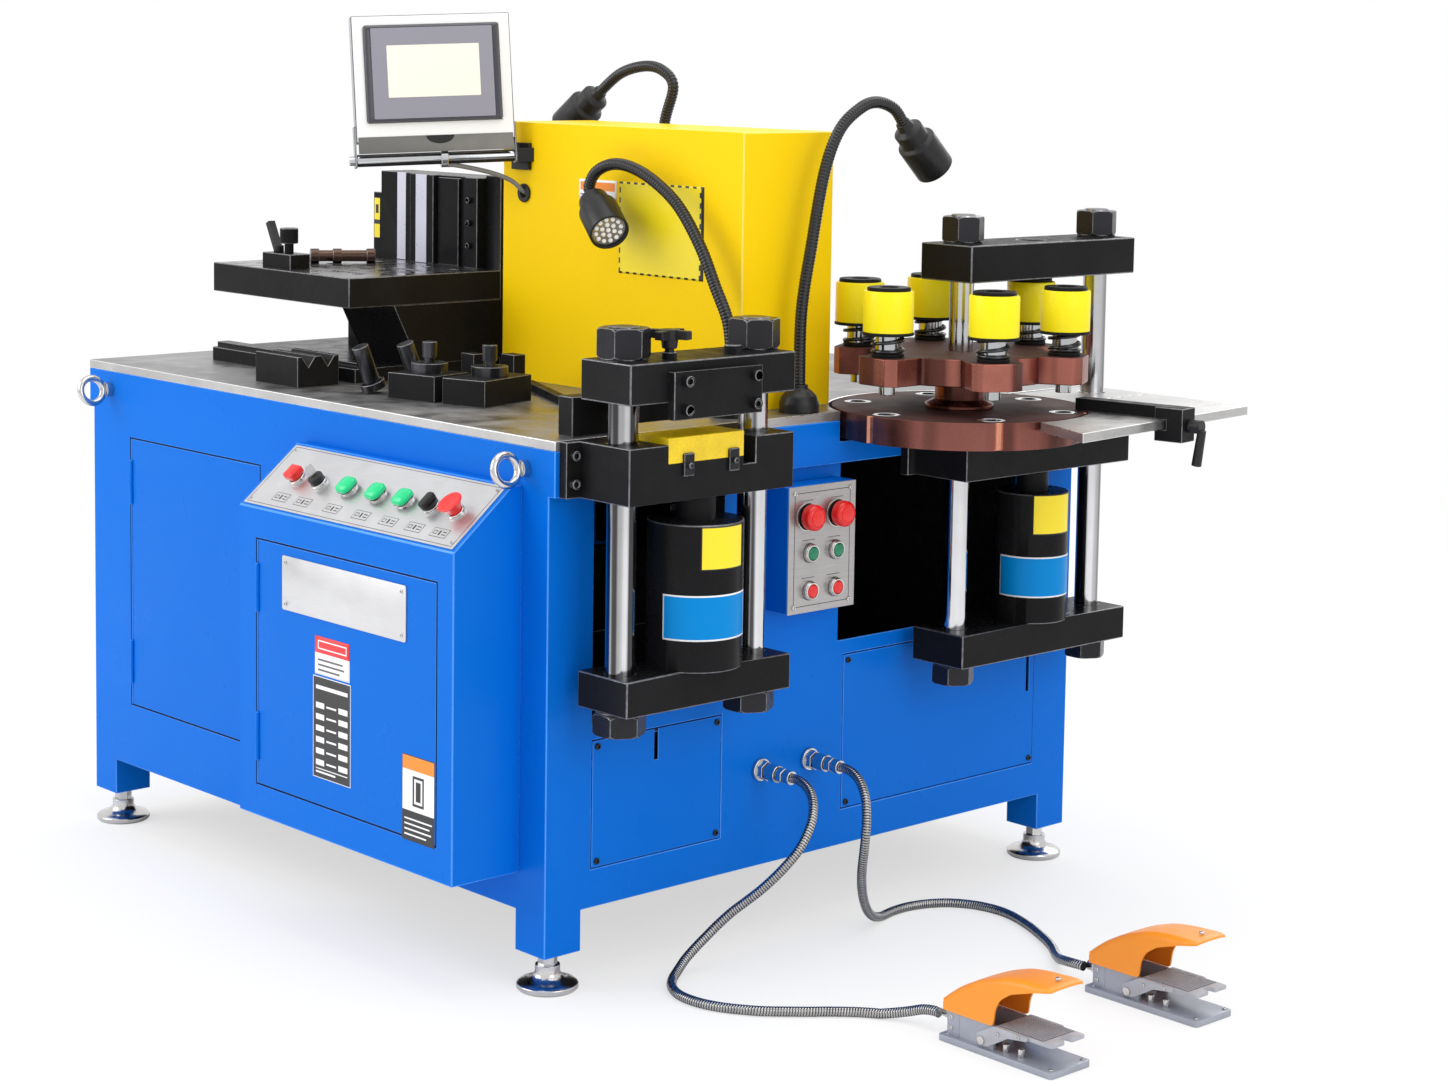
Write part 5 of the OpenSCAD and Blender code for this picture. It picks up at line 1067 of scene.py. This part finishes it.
# The label on a round face: angle = start + u / radius, height = low + v.
def roundLabel(name, rects, axis, radius, start, low, body, coats):
    part = labelPart(rects, 3.0)
    u, v = part["points"][:, 0], part["points"][:, 1]
    angle = math.radians(start) + u / radius
    reach = radius + 0.4
    part["points"] = np.stack([axis[0] + reach * np.cos(angle), axis[1] + reach * np.sin(angle), low + v], 1)
    return labelPiece(name, part, body, "dark_bench", coats, 0.4)


labelCoats = ["labelBlue", "labelWhite", "labelYellow", "labelBlack", "labelRed", "labelOrange", "labelGrey"]
for name, axis, radius, body, field, patch in (
        ("cut", (89.5, 197), 72.5, "cut_frame", (-82, 40, -292, -224), (-4, 80, -187, -122)),
        ("punch", (89.5, 954.5), 61, "punch_frame", (-104, 40, -322, -254), (-10, 80, -217, -150))):
    length = math.radians(field[1] - field[0]) * radius
    height = field[3] - field[2]
    roundLabel(name + "_field", [(0, 0, length, height, 1), (2.5, 2.5, length - 2.5, height - 2.5, 0)],
               axis, radius, field[0], field[2], body, labelCoats)
    height = patch[3] - patch[2]
    roundLabel(name + "_patch", [(0, 0, patch[1], height, 3), (2, 2, patch[1] - 2, height - 2, 2)],
               axis, radius, patch[0] - math.degrees(patch[1] / 2 / radius), patch[2], body, labelCoats)
frontAcross, frontUp = (1, 0, 0), (0, 0, 1)
namePlate = moved(slabPart(325, 86, 4, edged(2.2, 0.6)), upright, (-350.5, -127, -269))
nameScrews = [screwPart((x, -129.2, z), (0, -1, 0), 0.8, 1) for x in (-503, -198) for z in (-302, -236)]
makePiece("name_plate", [namePlate, *nameScrews], "desk_door", "stainless", ["stainless", "nickel"])
flatLabel("door_label_red", [(0, 0, 92, 60, 1), (0, 34, 92, 60, 4), (8, 40, 84, 54, 1), (10, 42, 82, 52, 4),
                             (8, 6, 66, 9, 6), (8, 14, 78, 17, 6), (8, 22, 74, 25, 6)],
          (-425, -127, -399), frontAcross, frontUp, "desk_door", "white_paint", labelCoats)
tableRows = [(u0, v0 + 18 * k, u1, v1 + 18 * k, 1) for k in range(6)
             for u0, v0, u1, v1 in ((8, 20, 30, 29), (36, 23, 62, 26), (68, 20, 92, 29))]
flatLabel("door_label_black", [(0, 0, 100, 160, 1), (1.2, 1.2, 98.8, 158.8, 3), (8, 140, 92, 146, 1),
                               (8, 8, 60, 11, 1), (8, 14, 92, 15.5, 1), *tableRows],
          (-430, -127, -562), frontAcross, frontUp, "desk_door", "black_steel", labelCoats)
lines = [(6, 8 * k, length, 8 * k + 2.5, 1) for k, length in enumerate((60, 72, 68, 74), 1)]
flatLabel("door_label_orange", [(0, 0, 80, 130, 3), (1, 1, 79, 129, 1), (1, 108, 79, 129, 5),
                                (1, 1, 79, 46, 3), *lines, (26, 54, 54, 100, 3), (30, 58, 50, 96, 1),
                                (34, 62, 46, 92, 3)],
          (-197, -127, -610), frontAcross, frontUp, "desk_door", "white_paint", labelCoats)
flatLabel("cabinet_label", [(0, 0, 96, 32, 1), (4, 14, 92, 28, 5), (4, 6, 60, 8, 6)],
          (-479, 440, 321), frontAcross, frontUp, "machine", "yellow_paint", labelCoats)
dash = [(x, y, x + 9, y + 3.4, 3) for x in np.arange(0, 200, 18) for y in (0, 147.6)] \
    + [(x, y, x + 3.4, y + 9, 3) for x in (0, 196.6) for y in np.arange(0, 142, 16.6)]
flatLabel("cabinet_field", [(0, 0, 200, 151, 2), *dash], (-375, 440, 202), frontAcross, frontUp, "machine",
          "yellow_paint", labelCoats)
frameLines = [(0, 0, 38, 17, 3), (0.8, 0.8, 37.2, 16.2, 1), (4, 5, 13, 12, 3), (5.2, 6.2, 11.8, 10.8, 1),
              (17, 4, 21, 13, 3), (25, 5, 34, 6.8, 3), (25, 10, 34, 11.8, 3)]
for k, at in enumerate(device["slope"], 1):
    flatLabel(f"desk_mark_{k}", frameLines, np.array(at) - (19, 0, 0) - 50 * slopeUp + plateThick * slopeOut,
              frontAcross, slopeUp, "machine", "stainless", ["labelBlue", "stainless", *labelCoats[2:]], 0.2)
for k, (x, y, z) in enumerate(device["side"], 1):
    flatLabel(f"side_mark_{k}", [(0, 0, 28, 1.1, 6)], (x + plateThick, y - 16, z + (25 if k < 3 else 20)),
              (0, 1, 0), (0, 0, 1), "machine", "stainless", labelCoats, 0.15)


# Four strips round a width by height field, of the line's width and thickness.
def borderPart(width, height, line, thick):
    w, h = width / 2, height / 2
    return boxesPart([(-w, -h, 0), (-w, h - line, 0), (-w, line - h, 0), (w - line, line - h, 0)],
                     [(w, line - h, thick), (w, h, thick), (line - w, h - line, thick), (w, h - line, thick)])


borders = [moved(borderPart(534, 122, 0.9, 0.12), slopeTurn, slopeAt + (-356, 0, 0) + plateThick * slopeOut),
           moved(borderPart(123, 181, 1.1, 0.12), sideTurn, sideAt + (plateThick, 0, 0))]
makePiece("plate_borders", borders, "machine", "stainless", ["labelBlack"])
# Edges of the covers (y0, y1, z0, z1) and doors (x0, x1, z0, z1, front), and the line and thickness of the
# dark strips laid round them as painted shade in the gaps.
seam = {"covers": [(90, 351, -656, -462), (621, 1090, -656, -403)], "wall": -17,
        "doors": [(-1178.4, -771, -604, -128, 0), (-586.4, -115, -605, -211, -127)],
        "line": 2.4, "thick": 0.25}
# dark strips laid in the panel gaps as painted shade
seams = [moved(borderPart(y1 - y0 + 4.6, z1 - z0 + 4.6, seam["line"], seam["thick"]), sideTurn,
               (seam["wall"], (y0 + y1) / 2, (z0 + z1) / 2)) for y0, y1, z0, z1 in seam["covers"]]
seams += [moved(borderPart(x1 - x0 + 4.8, z1 - z0 + 4.8, seam["line"], seam["thick"]), upright,
                ((x0 + x1) / 2, front, (z0 + z1) / 2)) for x0, x1, z0, z1, front in seam["doors"]]
makePiece("panel_seams", seams, "machine", "blue_paint", ["seam"])
plateScrews = [screwPart(slopeAt + (x, 0, 0) + v * slopeUp + plateThick * slopeOut, slopeOut, 0.7)
               for x in (-618, -94) for v in (-54, 54)]
plateScrews += [screwPart(sideAt + (plateThick, y, z), (1, 0, 0), 0.95) for y in (-61, 61) for z in (90, -90)]
makePiece("plate_screws", plateScrews, "machine", "chrome_steel", ["nickel"])
coverScrews = [screwPart((-14, y, z), (1, 0, 0), 1.25) for y0, y1, z0, z1 in seam["covers"]
               for z in (z1 - 9, z0 + 9) for y in (y0 + 9, y1 - 9)]
makePiece("cover_screws", coverScrews, "machine", "black_steel", ["blackPlastic"])

strips = [moved(rowsPart([(half, 79.4, 1, 0), (half, 79.4, 1, 1.2), (half - 0.5, 78.9, 0.6, 1.6)]), upright,
                (x, y, 260)) for half, x, y in ((13, -1026, 476), (16, -948, 462))]
makePiece("bench_strips", strips, "machine", "dark_bench", ["lavender"])
benchFields = [(0, 0, 19, 75, 3), (1.2, 1.2, 17.8, 73.8, 2), (1.2, 26, 17.8, 34, 3), (5, 46, 14, 62, 3)]
flatLabel("bench_label", benchFields, (-1112, 476, 215), frontAcross, frontUp, "machine", "dark_bench",
          labelCoats)


# screen: bezel, inner field and glass on the tilting panel, and below its white front a grey sheet with a
# black half-round notch, painted shade for the tray's underside and its cutout
# The part stands on the panel's front: its own Z leaves the panel.
def onPanel(part, x, z, y=-18):
    return moved(moved(part, upright, (x, y, z)), panelTurn, screenAt)


makePiece("screen_bezel", [
    onPanel(slabPart(230, 165, 5, [(0, 0), (0, 3.5), (4, 6.5), (9.5, 6.9), (10.5, 6.3)]), 0, 143),
    onPanel(slabPart(205, 153, 2, [(0, 0), (0, 7.0), (0.3, 7.3)], 1), 0, 143.5),
    onPanel(slabPart(156, 88, 1.5, [(0, 0), (0, 7.4), (0.2, 7.6)], 2), 1, 146.5)],
    "hmi_panel", "white_paint", ["darkBezel", "greyPanel", "screenGlass"])
curve = np.linspace(math.pi, 2 * math.pi, 19)
cutoutShade = prismPart(np.stack([24 * np.cos(curve), 14 * np.sin(curve)], 1), [(0, 0), (0, 0.9), (0.4, 1.2)], 1)
makePiece("screen_tray_shade", [onPanel(slabPart(262, 28, 1, edged(1.6, 0.4)), 0, 24),
                           onPanel(cutoutShade, 7, 37.5, -18.8)],
          "hmi_panel", "grey_steel", ["trayShadeGrey", "blackPlastic"])
rod = moved(lathePart(fillet([(0, -133), (10.6, -133), (10.6, 133), (0, 133)], 1.0), 40), alongX)
rodMiddle = rod["points"][rod["quads"]].mean(1)
# painted shade: the rod's underside takes the darker nut steel
rod["paint"] = (rodMiddle[:, 2] < -4.5).astype(int)  # darker underside
makePiece("screen_rod", [moved(rod, screenTurn, screenAt)], "machine", "chrome_steel", ["chrome", "nutSteel"])
print("labels, plates and screen made")
